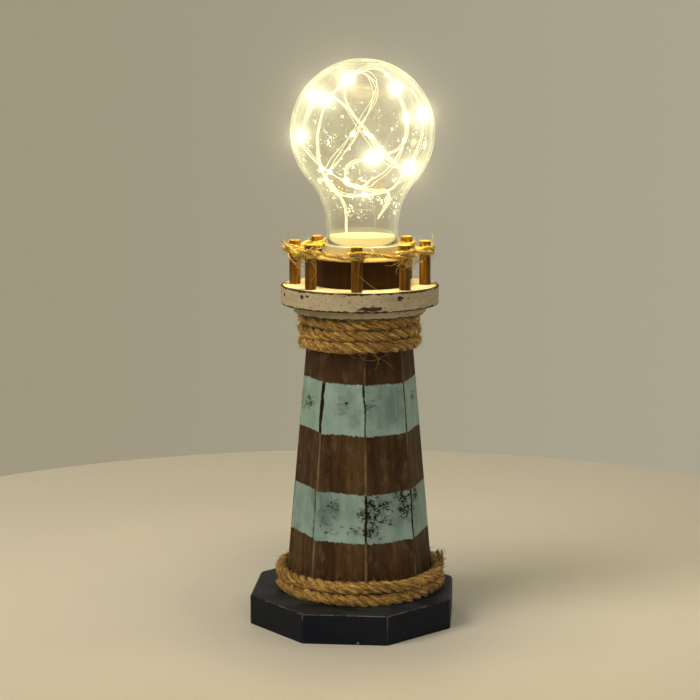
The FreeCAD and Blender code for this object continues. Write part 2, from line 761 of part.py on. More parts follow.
def make_bulb_envelope():
    """Blown bulb: straight neck, a hollow sweep and a globe, drawn as a wall of even thickness."""
    body = new_body("bulb_envelope", (lantern_x, tower_y, neck_foot))
    sketch = new_sketch(body, "bulbWallOutline", "XZ_Plane")
    wall = size["bulbWall"].value
    neck = size["neckRadius"].value
    straight = size["neckLength"].value
    sweep = size["bulbSweep"].value
    globe = size["bulbRadius"].value
    middle = globe_level.value
    lean = math.atan2(middle - straight, neck + sweep)
    sweep_centre = FreeCAD.Vector(neck + sweep, straight, 0)
    globe_centre = FreeCAD.Vector(0, middle, 0)
    straight_up = math.pi / 2

    def arc(centre, radius, low, high):
        circle = Part.Circle(centre, UP, radius)
        return sketch.addGeometry(Part.ArcOfCircle(circle, low, high), False)

    def line(a, b):
        return sketch.addGeometry(Part.LineSegment(FreeCAD.Vector(*a, 0), FreeCAD.Vector(*b, 0)), False)

    outer_neck = line((neck, 0), (neck, straight))
    outer_sweep = arc(sweep_centre, sweep, math.pi - lean, math.pi)
    outer_globe = arc(globe_centre, globe, -lean, straight_up)
    top = line((0, middle + globe), (0, middle + globe - wall))
    inner_globe = arc(globe_centre, globe - wall, -lean, straight_up)
    inner_sweep = arc(sweep_centre, sweep + wall, math.pi - lean, math.pi)
    inner_neck = line((neck - wall, straight), (neck - wall, 0))
    foot = line((neck - wall, 0), (neck, 0))

    def hold(kind, *picks):
        sketch.addConstraint(Sketcher.Constraint(kind, *picks))

    hold("Tangent", outer_neck, 2, outer_sweep, 2)
    hold("Tangent", outer_sweep, 1, outer_globe, 1)
    hold("Coincident", outer_globe, 2, top, 1)
    hold("Coincident", top, 2, inner_globe, 2)
    hold("Tangent", inner_globe, 1, inner_sweep, 1)
    hold("Tangent", inner_sweep, 2, inner_neck, 1)
    hold("Coincident", inner_neck, 2, foot, 1)
    hold("Coincident", foot, 2, outer_neck, 1)
    hold("Vertical", outer_neck)
    hold("Horizontal", foot)
    hold("Vertical", top)
    hold("PointOnObject", outer_globe, 3, -2)
    hold("PointOnObject", top, 1, -2)
    hold("Coincident", inner_globe, 3, outer_globe, 3)
    hold("Coincident", inner_sweep, 3, outer_sweep, 3)
    hold("PointOnObject", foot, 1, -1)
    dimension(sketch, "DistanceX", size["neckRadius"], -1, 1, outer_neck, 1)
    dimension(sketch, "Distance", size["bulbWall"], foot)
    dimension(sketch, "Distance", size["neckLength"], outer_neck)
    dimension(sketch, "Radius", size["bulbSweep"], outer_sweep)
    dimension(sketch, "Radius", size["bulbRadius"], outer_globe)
    spin(body, sketch)


pocket_room = size["coverRecess"] + size["coverThickness"]
cells_foot = pocket_room + size["contactThickness"] * 3
cells_top = cells_foot + size["cellHeight"] * size["cellCount"]
holder_inside_top = cells_top + size["contactThickness"]
holder_top = size["holderHeight"] + size["spigotHeight"]
tube_radius = size["cellRadius"] + size["cellPlay"]
boss_x = size["switchShift"] - size["bossRadius"] - size["switchWidth"] / 2 - size["bossClear"]
boss_y = size["holderRadius"] - size["holderWall"] - size["bossRadius"]
inner_radius = size["holderRadius"] - size["holderWall"]
spigot_radius = size["neckRadius"] - size["bulbWall"] - size["spigotPlay"]
stack_x = size["cellShift"] * -1


def make_battery_holder():
    """Moulded holder: a round shell, closed above, with a tube for the cells and a screw boss."""
    body = new_body("battery_holder", (lantern_x, tower_y, deck_top))
    outline = new_sketch(body, "holderOutline", "XZ_Plane")
    draw_outline(outline, [
        (inner_radius, ZERO),
        (size["holderRadius"], ZERO),
        (size["holderRadius"], size["holderHeight"]),
        (spigot_radius, size["holderHeight"]),
        (spigot_radius, holder_top),
        (ZERO, holder_top),
        (ZERO, holder_inside_top),
        (spigot_radius - size["holderWall"], holder_inside_top),
        (spigot_radius - size["holderWall"], size["holderHeight"] - size["holderWall"]),
        (inner_radius, size["holderHeight"] - size["holderWall"]),
    ])
    spin(body, outline)
    tube_sketch = new_sketch(body, "cellTube", lift=pocket_room)
    draw_circle(tube_sketch, tube_radius + size["tubeWall"], stack_x)
    draw_circle(tube_sketch, tube_radius, stack_x)
    pad(body, tube_sketch, holder_inside_top - pocket_room)
    boss_sketch = new_sketch(body, "screwBoss", lift=pocket_room)
    draw_circle(boss_sketch, size["bossRadius"], boss_x, boss_y)
    pad(body, boss_sketch, size["holderHeight"] - size["holderWall"] - pocket_room)
    doc.recompute()
    bore = new_sketch(body, "bossBore", lift=pocket_room)
    draw_circle(bore, size["coverScrewRadius"], boss_x, boss_y)
    pocket(body, bore, size["coverScrewLength"] - size["coverThickness"], backwards=True)
    passage = new_sketch(body, "wirePassage", lift=holder_top)
    draw_circle(passage, size["wireHoleRadius"], size["wireShift"] * -1)
    pocket(body, passage, holder_top - holder_inside_top)


def make_battery_cover():
    body = new_body("battery_cover", (lantern_x, tower_y, deck_top + size["coverRecess"]))
    outline = new_sketch(body, "coverOutline")
    draw_circle(outline, inner_radius - size["coverPlay"])
    draw_circle(outline, size["coverScrewRadius"], boss_x, boss_y)
    pad(body, outline, size["coverThickness"])
    slot = new_sketch(body, "knobSlot")
    half_slot = (size["knobLength"] + size["switchTravel"]) / 2 + size["knobPlay"]
    draw_slot(slot, size["switchShift"], half_slot, size["knobWidth"] / 2 + size["knobPlay"])
    pocket(body, slot, size["coverThickness"], backwards=True)


def make_cover_screw():
    body = new_body("cover_screw", (lantern_x + boss_x, tower_y + boss_y, deck_top + size["coverRecess"]))
    outline = new_sketch(body, "coverScrewOutline", "XZ_Plane")
    head = size["coverScrewHeadHeight"]
    draw_outline(outline, [
        (ZERO, head * -1),
        (size["coverScrewHead"], head * -1),
        (size["coverScrewHead"], ZERO),
        (size["coverScrewRadius"], ZERO),
        (size["coverScrewRadius"], size["coverScrewLength"] - size["coverScrewRadius"]),
        (ZERO, size["coverScrewLength"]),
    ])
    spin(body, outline)


def make_button_cell(number):
    """A button cell: a can with a sloped rim above, and the smaller cap standing proud below."""
    foot = deck_top + cells_foot + size["cellHeight"] * number
    body = new_body("button_cell_%d" % (number + 1), (lantern_x + stack_x, tower_y, foot))
    outline = new_sketch(body, "cell%dOutline" % (number + 1), "XZ_Plane")
    crimp = size["cellCrimp"]
    cap = size["cellCap"]
    draw_outline(outline, [
        (ZERO, ZERO),
        (size["cellRadius"] - crimp * 2, ZERO),
        (size["cellRadius"] - crimp * 2, cap),
        (size["cellRadius"] - crimp, cap),
        (size["cellRadius"], cap + crimp),
        (size["cellRadius"], size["cellHeight"]),
        (ZERO, size["cellHeight"]),
    ])
    can = spin(body, outline)
    ease(body, can, "Chamfer", size["cellRim"], rim_at(size["cellHeight"], size["cellRadius"]))


def make_contacts():
    """A dished spring plate under the cells and a flat plate over them."""
    body = new_body("lower_contact", (lantern_x + stack_x, tower_y, deck_top + pocket_room))
    outline = new_sketch(body, "dishOutline", "XZ_Plane")
    thick = size["contactThickness"]
    crown = size["contactCrown"]
    draw_outline(outline, [
        (crown, thick * 2),
        (size["contactRadius"] - thick, ZERO),
        (size["contactRadius"], ZERO),
        (size["contactRadius"], thick),
        (crown, thick * 3),
        (ZERO, thick * 3),
        (ZERO, thick * 2),
    ])
    spin(body, outline)
    upper = new_body("upper_contact", (lantern_x + stack_x, tower_y, deck_top + cells_top))
    disc = new_sketch(upper, "plateOutline")
    draw_circle(disc, size["contactRadius"])
    pad(upper, disc, thick)


def make_switch():
    """A small slide switch above the cover, its knob reaching down through the cover's slot."""
    place = (lantern_x + size["switchShift"], tower_y, deck_top + pocket_room)
    body = new_body("switch_body", place)
    block = new_sketch(body, "switchBlock")
    draw_slot(block, ZERO, size["switchLength"] / 2, size["switchWidth"] / 2)
    pad(body, block, size["switchHeight"])
    doc.recompute()
    track = new_sketch(body, "knobTrack")
    half_track = (size["knobLength"] + size["switchTravel"]) / 2 + size["knobPlay"]
    draw_slot(track, ZERO, half_track, size["knobWidth"] / 2 + size["knobPlay"])
    pocket(body, track, size["switchTrackDepth"], backwards=True)
    knob_foot = size["knobClear"]
    knob_top = pocket_room + size["switchTrackDepth"] - size["knobPlay"]
    knob = new_body("switch_knob", (
        lantern_x + size["switchShift"], tower_y - size["switchTravel"] / 2, deck_top + knob_foot))
    stem = new_sketch(knob, "knobOutline")
    draw_slot(stem, ZERO, size["knobLength"] / 2, size["knobWidth"] / 2)
    bar = pad(knob, stem, knob_top - knob_foot)
    ease(knob, bar, "Chamfer", size["knobEase"], on_level(ZERO))


# ---- light string ----------------------------------------------------------------------------

# Route of the wire as shares of the globe's inner radius, from the globe's middle: right, back,
# up. It leaves the holder, loops inside the glass and ends in the neck.
ROUTE = [
    (-0.23, -0.02, -1.30),
    (-0.23, -0.06, -1.06),
    (-0.31, -0.31, -0.84),
    (-0.55, -0.61, -0.50),
    (-0.57, -0.75, 0.03),
    (-0.45, -0.71, 0.46),
    (-0.17, -0.57, 0.75),
    (0.14, -0.19, 0.93),
    (0.34, 0.29, 0.84),
    (0.53, 0.63, 0.47),
    (0.61, 0.72, -0.16),
    (0.33, 0.64, -0.63),
    (-0.11, 0.41, -0.84),
    (-0.54, 0.46, -0.62),
    (-0.84, 0.25, -0.28),
    (-0.88, -0.29, -0.10),
    (-0.66, -0.38, 0.58),
    (-0.28, -0.73, 0.44),
    (0.12, -0.95, 0.02),
    (0.46, -0.72, -0.43),
    (0.72, -0.35, -0.46),
    (0.67, 0.22, -0.65),
    (0.38, 0.63, -0.46),
    (0.05, 0.89, -0.10),
    (-0.31, 0.82, 0.34),
    (-0.29, 0.40, 0.78),
    (0.03, -0.12, 0.88),
    (0.31, -0.64, 0.60),
    (-0.07, -0.89, 0.00),
    (-0.36, -0.73, -0.40),
    (-0.54, -0.30, -0.64),
    (-0.29, -0.12, -0.88),
    (0.04, -0.26, -0.88),
    (0.44, -0.18, -0.80),
    (0.64, 0.21, -0.55),
    (0.83, 0.39, -0.20),
    (0.88, 0.17, 0.26),
    (0.71, -0.06, 0.62),
    (0.41, -0.50, 0.68),
    (0.69, -0.61, 0.22),
    (0.61, -0.61, -0.22),
    (0.20, -0.78, -0.33),
    (-0.15, -0.82, -0.40),
    (-0.21, -0.64, -0.66),
    (0.10, -0.49, -0.80),
    (0.40, -0.27, -0.80),
    (0.35, -0.05, -1.02),
    (0.22, 0.04, -1.24),
]
# which corners of the route carry a light
LIT = [3, 5, 6, 8, 10, 12, 13, 15, 16, 18, 20, 23, 25, 28, 30, 32, 34, 36, 38, 39, 41, 43]


def wire_path(points):
    """Straight runs joined by tangent arcs, each arc 0.45 of its shorter run."""
    edges = []
    radii = []
    at = points[0]
    for before, corner, after in zip(points, points[1:], points[2:]):
        into = corner - before
        out = after - corner
        turn = into.getAngle(out)
        leg = 0.45 * min(into.Length, out.Length)
        radii.append(leg / math.tan(turn / 2))
        start = corner - into.normalize() * leg
        end = corner + out.normalize() * leg
        edges.append(Part.LineSegment(at, start).toShape())
        edges.append(bow(start, corner, end))
        at = end
    edges.append(Part.LineSegment(at, points[-1]).toShape())
    return edges, radii


def resin_drop(middle, way):
    """A spindle of resin along the wire, many-sided, thickest at its middle."""
    reach = size["beadReach"].value
    waist = Part.makePolygon(many_sided(middle, way, size["beadRadius"].value, DROP_SIDES))
    tips = [Part.Vertex(middle - way * reach), Part.Vertex(middle + way * reach)]
    return Part.makeLoft([tips[0], waist, tips[1]], True, True)


def make_light_string():
    inner = size["bulbRadius"].value - size["bulbWall"].value
    points = [FreeCAD.Vector(x * inner, y * inner, z * inner) for x, y, z in ROUTE]
    # the first run comes straight up out of the holder
    foot = holder_inside_top.value - size["holderHeight"].value - globe_level.value
    points[0] = FreeCAD.Vector(-size["wireShift"].value, 0, foot)
    points[1] = FreeCAD.Vector(-size["wireShift"].value, 0, points[1].z)
    edges, radii = wire_path(points)
    radius = size["wireRadius"].value
    wire = doc.addObject("Part::Feature", "led_wire")
    wire.Label = "led_wire"
    wire.Shape = tube(edges, radius, WIRE_SIDES)
    place = FreeCAD.Vector(lantern_x.value, tower_y.value, neck_foot.value + globe_level.value)
    wire.Placement = FreeCAD.Placement(place, FreeCAD.Rotation())
    pieces.append(wire)
    length = sum(edge.Length for edge in edges)
    section = WIRE_SIDES / 2 * math.sin(2 * math.pi / WIRE_SIDES) * radius * radius
    print("led_wire: length %.1f, radii %s" % (length, " ".join("%.1f" % one for one in radii)))
    print("led_wire: volume %.2f, section times length %.2f" % (wire.Shape.Volume, section * length))
    print("led_wire: least gap to itself %.2f" % least_gap(edges, radius, 12 * radius))
    drops = []
    for number in LIT:
        arc = edges[2 * number - 1]
        halfway = arc.getParameterByLength(arc.Length / 2)
        drops.append(resin_drop(arc.valueAt(halfway), arc.tangentAt(halfway)))
    beads = doc.addObject("Part::Feature", "led_beads")
    beads.Label = "led_beads"
    beads.Shape = Part.makeCompound(drops)
    beads.Placement = FreeCAD.Placement(place, FreeCAD.Rotation())
    pieces.append(beads)


# ---- the whole -------------------------------------------------------------------------------

def check_and_write():
    doc.recompute()
    for thing in doc.Objects:
        if "Invalid" in thing.State or "Error" in thing.State:
            raise RuntimeError("%s failed: %s" % (thing.Name, thing.State))
    for piece in pieces:
        if piece.Shape.isNull() or not piece.Shape.isValid():
            raise RuntimeError("%s has no valid shape" % piece.Label)
    os.makedirs("parts", exist_ok=True)
    for piece in pieces:
        piece.Shape.exportStep("parts/%s.step" % piece.Label)
    print("%d pieces written" % len(pieces))


make_plinth()
make_plinth_screw(1, 1)
make_plinth_screw(2, -1)
make_tower()
make_dowel()
make_under_deck()
make_gallery_deck()
make_lantern_cup()
for post_number in range(int(size["postCount"].value)):
    make_rail_post(post_number)
make_rail_twine()
make_neck_rope()
make_foot_rope()
make_bulb_envelope()
make_battery_holder()
make_battery_cover()
make_cover_screw()
for cell_number in range(int(size["cellCount"].value)):
    make_button_cell(cell_number)
make_contacts()
make_switch()
make_light_string()
check_and_write()
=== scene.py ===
import math
import random
import bpy
import numpy as np
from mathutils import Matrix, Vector


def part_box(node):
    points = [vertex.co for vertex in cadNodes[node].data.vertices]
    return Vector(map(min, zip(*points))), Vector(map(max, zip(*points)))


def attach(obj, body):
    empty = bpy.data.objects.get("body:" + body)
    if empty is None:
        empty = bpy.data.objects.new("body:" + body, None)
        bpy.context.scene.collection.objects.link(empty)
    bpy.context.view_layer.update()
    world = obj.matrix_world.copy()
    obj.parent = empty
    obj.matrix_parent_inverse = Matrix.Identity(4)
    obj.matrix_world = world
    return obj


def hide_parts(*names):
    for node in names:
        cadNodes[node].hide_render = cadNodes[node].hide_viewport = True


# Garden lighthouse ornament: painted wooden tower, jute rope bands, lashed gallery rail, lit bulb.
# Metres, Z up, front along -Y, the middle of the plinth's underside at the origin.

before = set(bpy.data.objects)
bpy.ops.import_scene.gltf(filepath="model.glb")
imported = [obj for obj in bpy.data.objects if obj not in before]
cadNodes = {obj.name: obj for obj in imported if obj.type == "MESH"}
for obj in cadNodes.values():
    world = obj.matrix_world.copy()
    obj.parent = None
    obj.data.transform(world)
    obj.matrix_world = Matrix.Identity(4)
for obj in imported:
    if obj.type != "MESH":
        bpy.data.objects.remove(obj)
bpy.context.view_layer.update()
mm = 0.001
random.seed(24)


def boxMiddle(node):
    low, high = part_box(node)
    return (low + high) / 2


towerAxis = boxMiddle("under_deck")
lanternAxis = boxMiddle("bulb_envelope")
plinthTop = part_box("plinth")[1].z
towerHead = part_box("under_deck")[0].z
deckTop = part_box("gallery_deck")[1].z
bulbFoot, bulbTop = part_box("bulb_envelope")[0].z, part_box("bulb_envelope")[1].z
print("frame loaded, tower axis", [round(v / mm, 2) for v in towerAxis])


# node helpers: a socket knows the node tree that it stands in

def add(tree, kind, inputs=None, **settings):
    node = tree.nodes.new("ShaderNode" + kind)
    for key, value in settings.items():
        setattr(node, key, value)
    for key, value in (inputs or {}).items():
        if isinstance(value, bpy.types.NodeSocket):
            tree.links.new(value, node.inputs[key])
        else:
            node.inputs[key].default_value = value
    return node


def worked(operation, first, second=0.0):  # a sum of two sockets, or of a socket and a number
    tree = (first if isinstance(first, bpy.types.NodeSocket) else second).id_data
    return add(tree, "Math", {0: first, 1: second}, operation=operation).outputs[0]


def plus(first, *others):
    for other in others:
        first = worked("ADD", first, other)
    return first


def times(first, *others):
    for other in others:
        first = worked("MULTIPLY", first, other)
    return first


def most(first, *others):
    for other in others:
        first = worked("MAXIMUM", first, other)
    return first


def less(first, second):
    return worked("SUBTRACT", first, second)


def sway(noise, amount):  # noise as a push to both sides
    return times(less(noise, 0.5), amount)


def fade(value, low, high, start=0.0, end=1.0):  # smooth step from start to end
    inputs = {"Value": value, "From Min": low, "From Max": high, "To Min": start, "To Max": end}
    return add(value.id_data, "MapRange", inputs, interpolation_type="SMOOTHSTEP").outputs["Result"]


def rgba(colour):
    return (*colour, 1.0) if isinstance(colour, tuple) else colour


def layered(colour, *coats):  # lays coats of (share, colour) over a colour
    for share, coat in coats:
        inputs = {0: share, 6: rgba(colour), 7: rgba(coat)}
        colour = add(share.id_data, "Mix", inputs, data_type="RGBA").outputs[2]
    return colour


def grain(where, scale, detail=3.0, stretch=None, offset=(0, 0, 0)):  # noise, drawn out along an axis
    tree = where.id_data
    if stretch:
        inputs = {"Vector": where, "Scale": stretch, "Location": offset}
        where = add(tree, "Mapping", inputs).outputs["Vector"]
    inputs = {"Vector": where, "Scale": scale, "Detail": detail, "Roughness": 0.6}
    return add(tree, "TexNoise", inputs).outputs["Fac"]


def stepped(value, heights):  # one height for each whole number of value, round and round
    ramp = value.id_data.nodes.new("ShaderNodeValToRGB")
    ramp.color_ramp.interpolation = "CONSTANT"
    stops = ramp.color_ramp.elements
    stops.remove(stops[1])
    for k, height in enumerate(heights):
        stop = stops[0] if k == 0 else stops.new(k / len(heights))
        stop.color = (height, height, height, 1.0)
    turned = worked("DIVIDE", worked("FLOORED_MODULO", value, float(len(heights))), len(heights))
    value.id_data.links.new(turned, ramp.inputs[0])
    return ramp.outputs["Color"]


def split(place):
    return add(place.id_data, "SeparateXYZ", {0: place}).outputs


def facing(tree, blend):  # 0 where a face looks at the eye, 1 at its rim
    return add(tree, "LayerWeight", {"Blend": blend}).outputs["Facing"]


def newFinish(name, constants):
    finish = bpy.data.materials.new(name)
    finish.use_nodes = True
    shader = finish.node_tree.nodes["Principled BSDF"]
    for key, value in constants.items():
        shader.inputs[key].default_value = value
    return finish, shader, add(finish.node_tree, "TexCoord").outputs["Object"]


def feed(shader, name, value):
    value.id_data.links.new(value, shader.inputs[name])


def joinBump(shader, height, depth, strength=1.0):
    bump = add(height.id_data, "Bump", {"Height": height, "Distance": depth, "Strength": strength})
    feed(shader, "Normal", bump.outputs["Normal"])


def roundTheAxis(place, axis):  # height, distance from an upright axis, and angle about it
    x, y, height = split(place)
    across, along = less(x, axis.x), less(y, axis.y)
    reach = worked("SQRT", plus(times(across, across), times(along, along)))
    return height, reach, worked("ARCTAN2", along, across)


def eightCorners(reach, angle, cornerTurn):  # distance to the nearest corner, angle to it, side number
    share = worked("DIVIDE", less(angle, math.radians(cornerTurn) - 2 * math.pi), math.pi / 4)
    away = times(worked("PINGPONG", share, 0.5), math.pi / 4)
    return times(reach, worked("SINE", away)), away, share


def dress(node, finish):
    piece = cadNodes[node]
    piece.data.materials.clear()
    piece.data.materials.append(finish)


# mesh helpers

def newPiece(name, vertices, faces, finish, body):
    mesh = bpy.data.meshes.new(name)
    mesh.from_pydata([tuple(v) for v in vertices], [], [tuple(f) for f in faces])
    mesh.materials.append(finish)
    mesh.polygons.foreach_set("use_smooth", [True] * len(mesh.polygons))
    mesh.update()
    piece = bpy.data.objects.new(name, mesh)
    bpy.context.scene.collection.objects.link(piece)
    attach(piece, body)
    return piece


def runAlong(line):  # length from the start to each point
    return np.concatenate(([0], np.cumsum(np.linalg.norm(np.diff(line, axis=0), axis=1))))


def carriedFrames(points):  # ways along a line, with two square directions carried along it
    ways = np.gradient(points, axis=0)
    ways /= np.linalg.norm(ways, axis=1)[:, None]
    sides = np.zeros_like(points)
    side = np.cross(ways[0], (0, 0, 1) if abs(ways[0][2]) < 0.9 else (1, 0, 0))
    for k, way in enumerate(ways):
        side = side - way * np.dot(side, way)
        side /= np.linalg.norm(side)
        sides[k] = side
    return ways, sides, np.cross(ways, sides)


def outwards(across, rise, turn):  # ways out from a line, one for each point
    return across * np.cos(turn)[:, None] + rise * np.sin(turn)[:, None]


def sweep(points, radii, sides, ridges=0, ridgeDepth=0.0, ridgeTwist=0.0):  # tube with shut ends
    count = len(points)
    radii = np.broadcast_to(np.asarray(radii, float), (count,))
    across, rise = carriedFrames(points)[1:]
    run = runAlong(points)
    turn = np.arange(sides) * 2 * math.pi / sides
    swell = 1 + ridgeDepth * np.cos(ridges * turn[None, :] + ridgeTwist * run[:, None])
    reach = radii[:, None] * swell
    ring = (across[:, None, :] * np.cos(turn)[None, :, None]
            + rise[:, None, :] * np.sin(turn)[None, :, None])
    vertices = (points[:, None, :] + ring * reach[:, :, None]).reshape(-1, 3)
    lay = np.stack([np.repeat(run, sides) / mm, np.tile(np.cos(turn), count),
                    np.tile(np.sin(turn), count)], 1)
    faces = []
    for k in range(count - 1):
        low, high = k * sides, (k + 1) * sides
        faces += [(low + j, low + (j + 1) % sides, high + (j + 1) % sides, high + j) for j in range(sides)]
    faces.append(tuple(range(sides - 1, -1, -1)))
    faces.append(tuple(range((count - 1) * sides, count * sides)))
    return vertices, faces, lay


def gather(parts):  # several vertex, face and lay lists as one
    vertices, faces, lays, start = [], [], [], 0
    for partVertices, partFaces, partLay in parts:
        vertices.append(partVertices)
        lays.append(partLay + np.array((random.uniform(0, 400), 0, 0)))
        faces += [tuple(i + start for i in face) for face in partFaces]
        start += len(partVertices)
    return np.concatenate(vertices), faces, np.concatenate(lays)


def storeLay(piece, lay):  # run along the strand in millimetres, and the way round it
    attribute = piece.data.attributes.new("lay", "FLOAT_VECTOR", "POINT")
    attribute.data.foreach_set("vector", lay.astype(np.float32).ravel())


def lathe(profile, axis, steps):  # turns (radius, height) points about an upright axis
    vertices, faces = [], []
    for radius, height in profile:
        for k in range(steps):
            turn = 2 * math.pi * k / steps
            vertices.append((axis.x + radius * math.cos(turn), axis.y + radius * math.sin(turn), height))
    for row in range(len(profile) - 1):
        for k in range(steps):
            after = (k + 1) % steps
            low, high = row * steps, (row + 1) * steps
            faces.append((low + k, low + after, high + after, high + k))
    return vertices, faces


# floor, light and camera

stageLook = {
    "floorRadius": 0.33, "floorSteps": 128,
    "floor": (0.80, 0.76, 0.68), "floorFrontShade": (0.62, 0.56, 0.46), "floorFrontShadeAt": -0.24,
    "wall": (0.352, 0.312, 0.215), "wallRight": (0.405, 0.372, 0.275), "front": (0.10, 0.085, 0.055),
    "lights": {
        "window": {"place": (-0.80, -0.62, 0.95), "size": 0.7, "watts": 10.2, "colour": (1.0, 0.90, 0.72)},
        "front": {"place": (0.34, -1.0, 0.42), "size": 0.8, "watts": 3.1, "colour": (1.0, 0.96, 0.86)},
        "shade": {"place": (0.95, 0.25, 0.75), "size": 0.7, "watts": 0.8, "colour": (1.0, 0.93, 0.76)},
    },
    "aim": (0, 0, 0.1),
    "camera": {"place": (0.0590, -0.7359, 0.2369), "turn": 4.69, "down": 9.24, "lens": 89.9, "film": 36.0},
    "halos": ({"threshold": 3.4, "strength": 11.0, "size": 0.12},
              {"threshold": 3.4, "strength": 0.5, "size": 0.6}),
}


def makeFloor():
    radius, steps = stageLook["floorRadius"], stageLook["floorSteps"]
    turns = [2 * math.pi * k / steps for k in range(steps)]
    floorMesh = bpy.data.meshes.new("floor")
    floorMesh.from_pydata([(radius * math.cos(turn), radius * math.sin(turn), 0.0) for turn in turns], [],
                          [tuple(range(steps))])
    floor = bpy.data.objects.new("floor", floorMesh)
    bpy.context.scene.collection.objects.link(floor)
    finish, shader, place = newFinish("paleFloor", {})
    feed(shader, "Roughness", fade(grain(place, 9.0, 2.0), 0.3, 0.7, 0.44, 0.52))
    # painted shade: the floor darkens towards the front, where less light falls on it
    frontShade = fade(split(place)[1], 0.0, stageLook["floorFrontShadeAt"])
    feed(shader, "Base Color", layered(stageLook["floor"], (frontShade, stageLook["floorFrontShade"])))
    floorMesh.materials.append(finish)


def makeRoom():
    world = bpy.data.worlds.new("room")
    bpy.context.scene.world = world
    world.use_nodes = True
    towards = split(add(world.node_tree, "TexCoord").outputs["Generated"])
    around = layered(stageLook["wall"], (fade(towards[0], -0.25, 0.15), stageLook["wallRight"]))
    around = layered(stageLook["front"], (fade(towards[1], -0.2, 0.5), around))
    world.node_tree.links.new(around, world.node_tree.nodes["Background"].inputs["Color"])


def makeLights():
    for name, light in stageLook["lights"].items():
        lamp = bpy.data.lights.new(name, "AREA")
        lamp.size = light["size"]
        lamp.energy = light["watts"]
        lamp.color = light["colour"]
        holder = bpy.data.objects.new(name, lamp)
        holder.location = light["place"]
        aim = Vector(stageLook["aim"]) - Vector(light["place"])
        holder.rotation_euler = aim.to_track_quat("-Z", "Y").to_euler()
        holder.visible_glossy = False
        holder.visible_transmission = False
        bpy.context.scene.collection.objects.link(holder)


def makeCamera():
    view = stageLook["camera"]
    eye = bpy.data.cameras.new("viewpoint")
    eye.lens = view["lens"]
    eye.sensor_width = view["film"]
    eye.clip_start = 0.01
    camera = bpy.data.objects.new("viewpoint", eye)
    camera.location = view["place"]
    camera.rotation_euler = (math.radians(90 - view["down"]), 0, math.radians(view["turn"]))
    bpy.context.scene.collection.objects.link(camera)
    bpy.context.scene.camera = camera
    bpy.context.scene.view_settings.view_transform = "Standard"


def makeHalos():  # soft halos round the lit drops
    scene = bpy.context.scene
    scene.use_nodes = True
    tree = scene.node_tree
    tree.nodes.clear()
    rendered = tree.nodes.new("CompositorNodeRLayers").outputs["Image"]
    picture = rendered
    for look in stageLook["halos"]:
        halo = tree.nodes.new("CompositorNodeGlare")
        halo.glare_type = "BLOOM"
        for key, value in look.items():
            halo.inputs[key.capitalize()].default_value = value
        tree.links.new(rendered, halo.inputs["Image"])
        joined = tree.nodes.new("CompositorNodeMixRGB")
        joined.blend_type = "ADD"
        tree.links.new(picture, joined.inputs[1])
        tree.links.new(halo.outputs["Glare"], joined.inputs[2])
        picture = joined.outputs["Image"]
    out = tree.nodes.new("CompositorNodeComposite")
    tree.links.new(picture, out.inputs["Image"])


makeFloor()
makeRoom()
makeLights()
makeCamera()
makeHalos()
print("floor, light and camera set")


# plinth

plinthLook = {
    "navy": (0.0036, 0.0056, 0.0125), "paleTop": (0.058, 0.064, 0.066), "bare": (0.17, 0.165, 0.145),
    "cornerTurn": 22.5, "edge": 0.5 * mm, "relief": 0.05 * mm,
    "chip": {"x": 5.4 * mm, "z": 0.8 * mm, "size": 0.8 * mm},
}


def finishPlinth():
    look, edge, chip = plinthLook, plinthLook["edge"], plinthLook["chip"]
    finish, shader, place = newFinish("plinthPaint", {"Specular IOR Level": 0.15})
    x, y, height = split(place)
    reach, angle = roundTheAxis(place, Vector((0, 0, 0)))[1:]
    corner, away = eightCorners(reach, angle, look["cornerTurn"])[:2]
    flat = times(reach, worked("COSINE", less(math.pi / 8, away)))
    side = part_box("plinth")[1].x
    clouds = grain(place, 60.0, 5.0)
    chips = grain(place, 420.0, 3.0)
    # paint worn off along the edges
    topLine = times(fade(height, plinthTop - edge, plinthTop - edge * 0.6),
                    fade(flat, side - edge * 1.3, side - edge * 0.9))
    footLine = times(fade(height, edge * 0.3, 0.0), 0.6)
    upright = times(fade(corner, edge * 0.7, edge * 0.3),
                    fade(height, plinthTop * 0.35, plinthTop * 0.95, 0.12, 0.7),
                    fade(flat, side - edge, side - edge * 0.5))
    wear = times(most(topLine, upright, footLine), fade(plus(times(chips, 0.5), clouds), 0.66, 0.90))
    # one chip at the foot
    far = plus(worked("ABSOLUTE", less(x, chip["x"])), worked("ABSOLUTE", less(height, chip["z"])))
    wear = most(wear, times(fade(far, chip["size"], chip["size"] * 0.6), fade(y, -side * 0.8, -side * 0.9)))
    brushed = grain(place, 30.0, 6.0, (1.0, 6.0, 6.0))
    # paler on the top face, in brushed clouds, and only faintly so down the sides
    paleTopShare = times(fade(height, plinthTop - 0.3 * mm, plinthTop - 0.1 * mm, 0.12, 0.75),
                 fade(plus(clouds, times(brushed, 0.4)), 0.45, 0.95))
    feed(shader, "Base Color", layered(look["navy"], (paleTopShare, look["paleTop"]), (wear, look["bare"])))
    feed(shader, "Roughness", fade(clouds, 0.3, 0.8, 0.42, 0.68))
    joinBump(shader, plus(brushed, times(chips, 0.5)), look["relief"], 0.6)
    dress("plinth", finish)


finishPlinth()


# tower

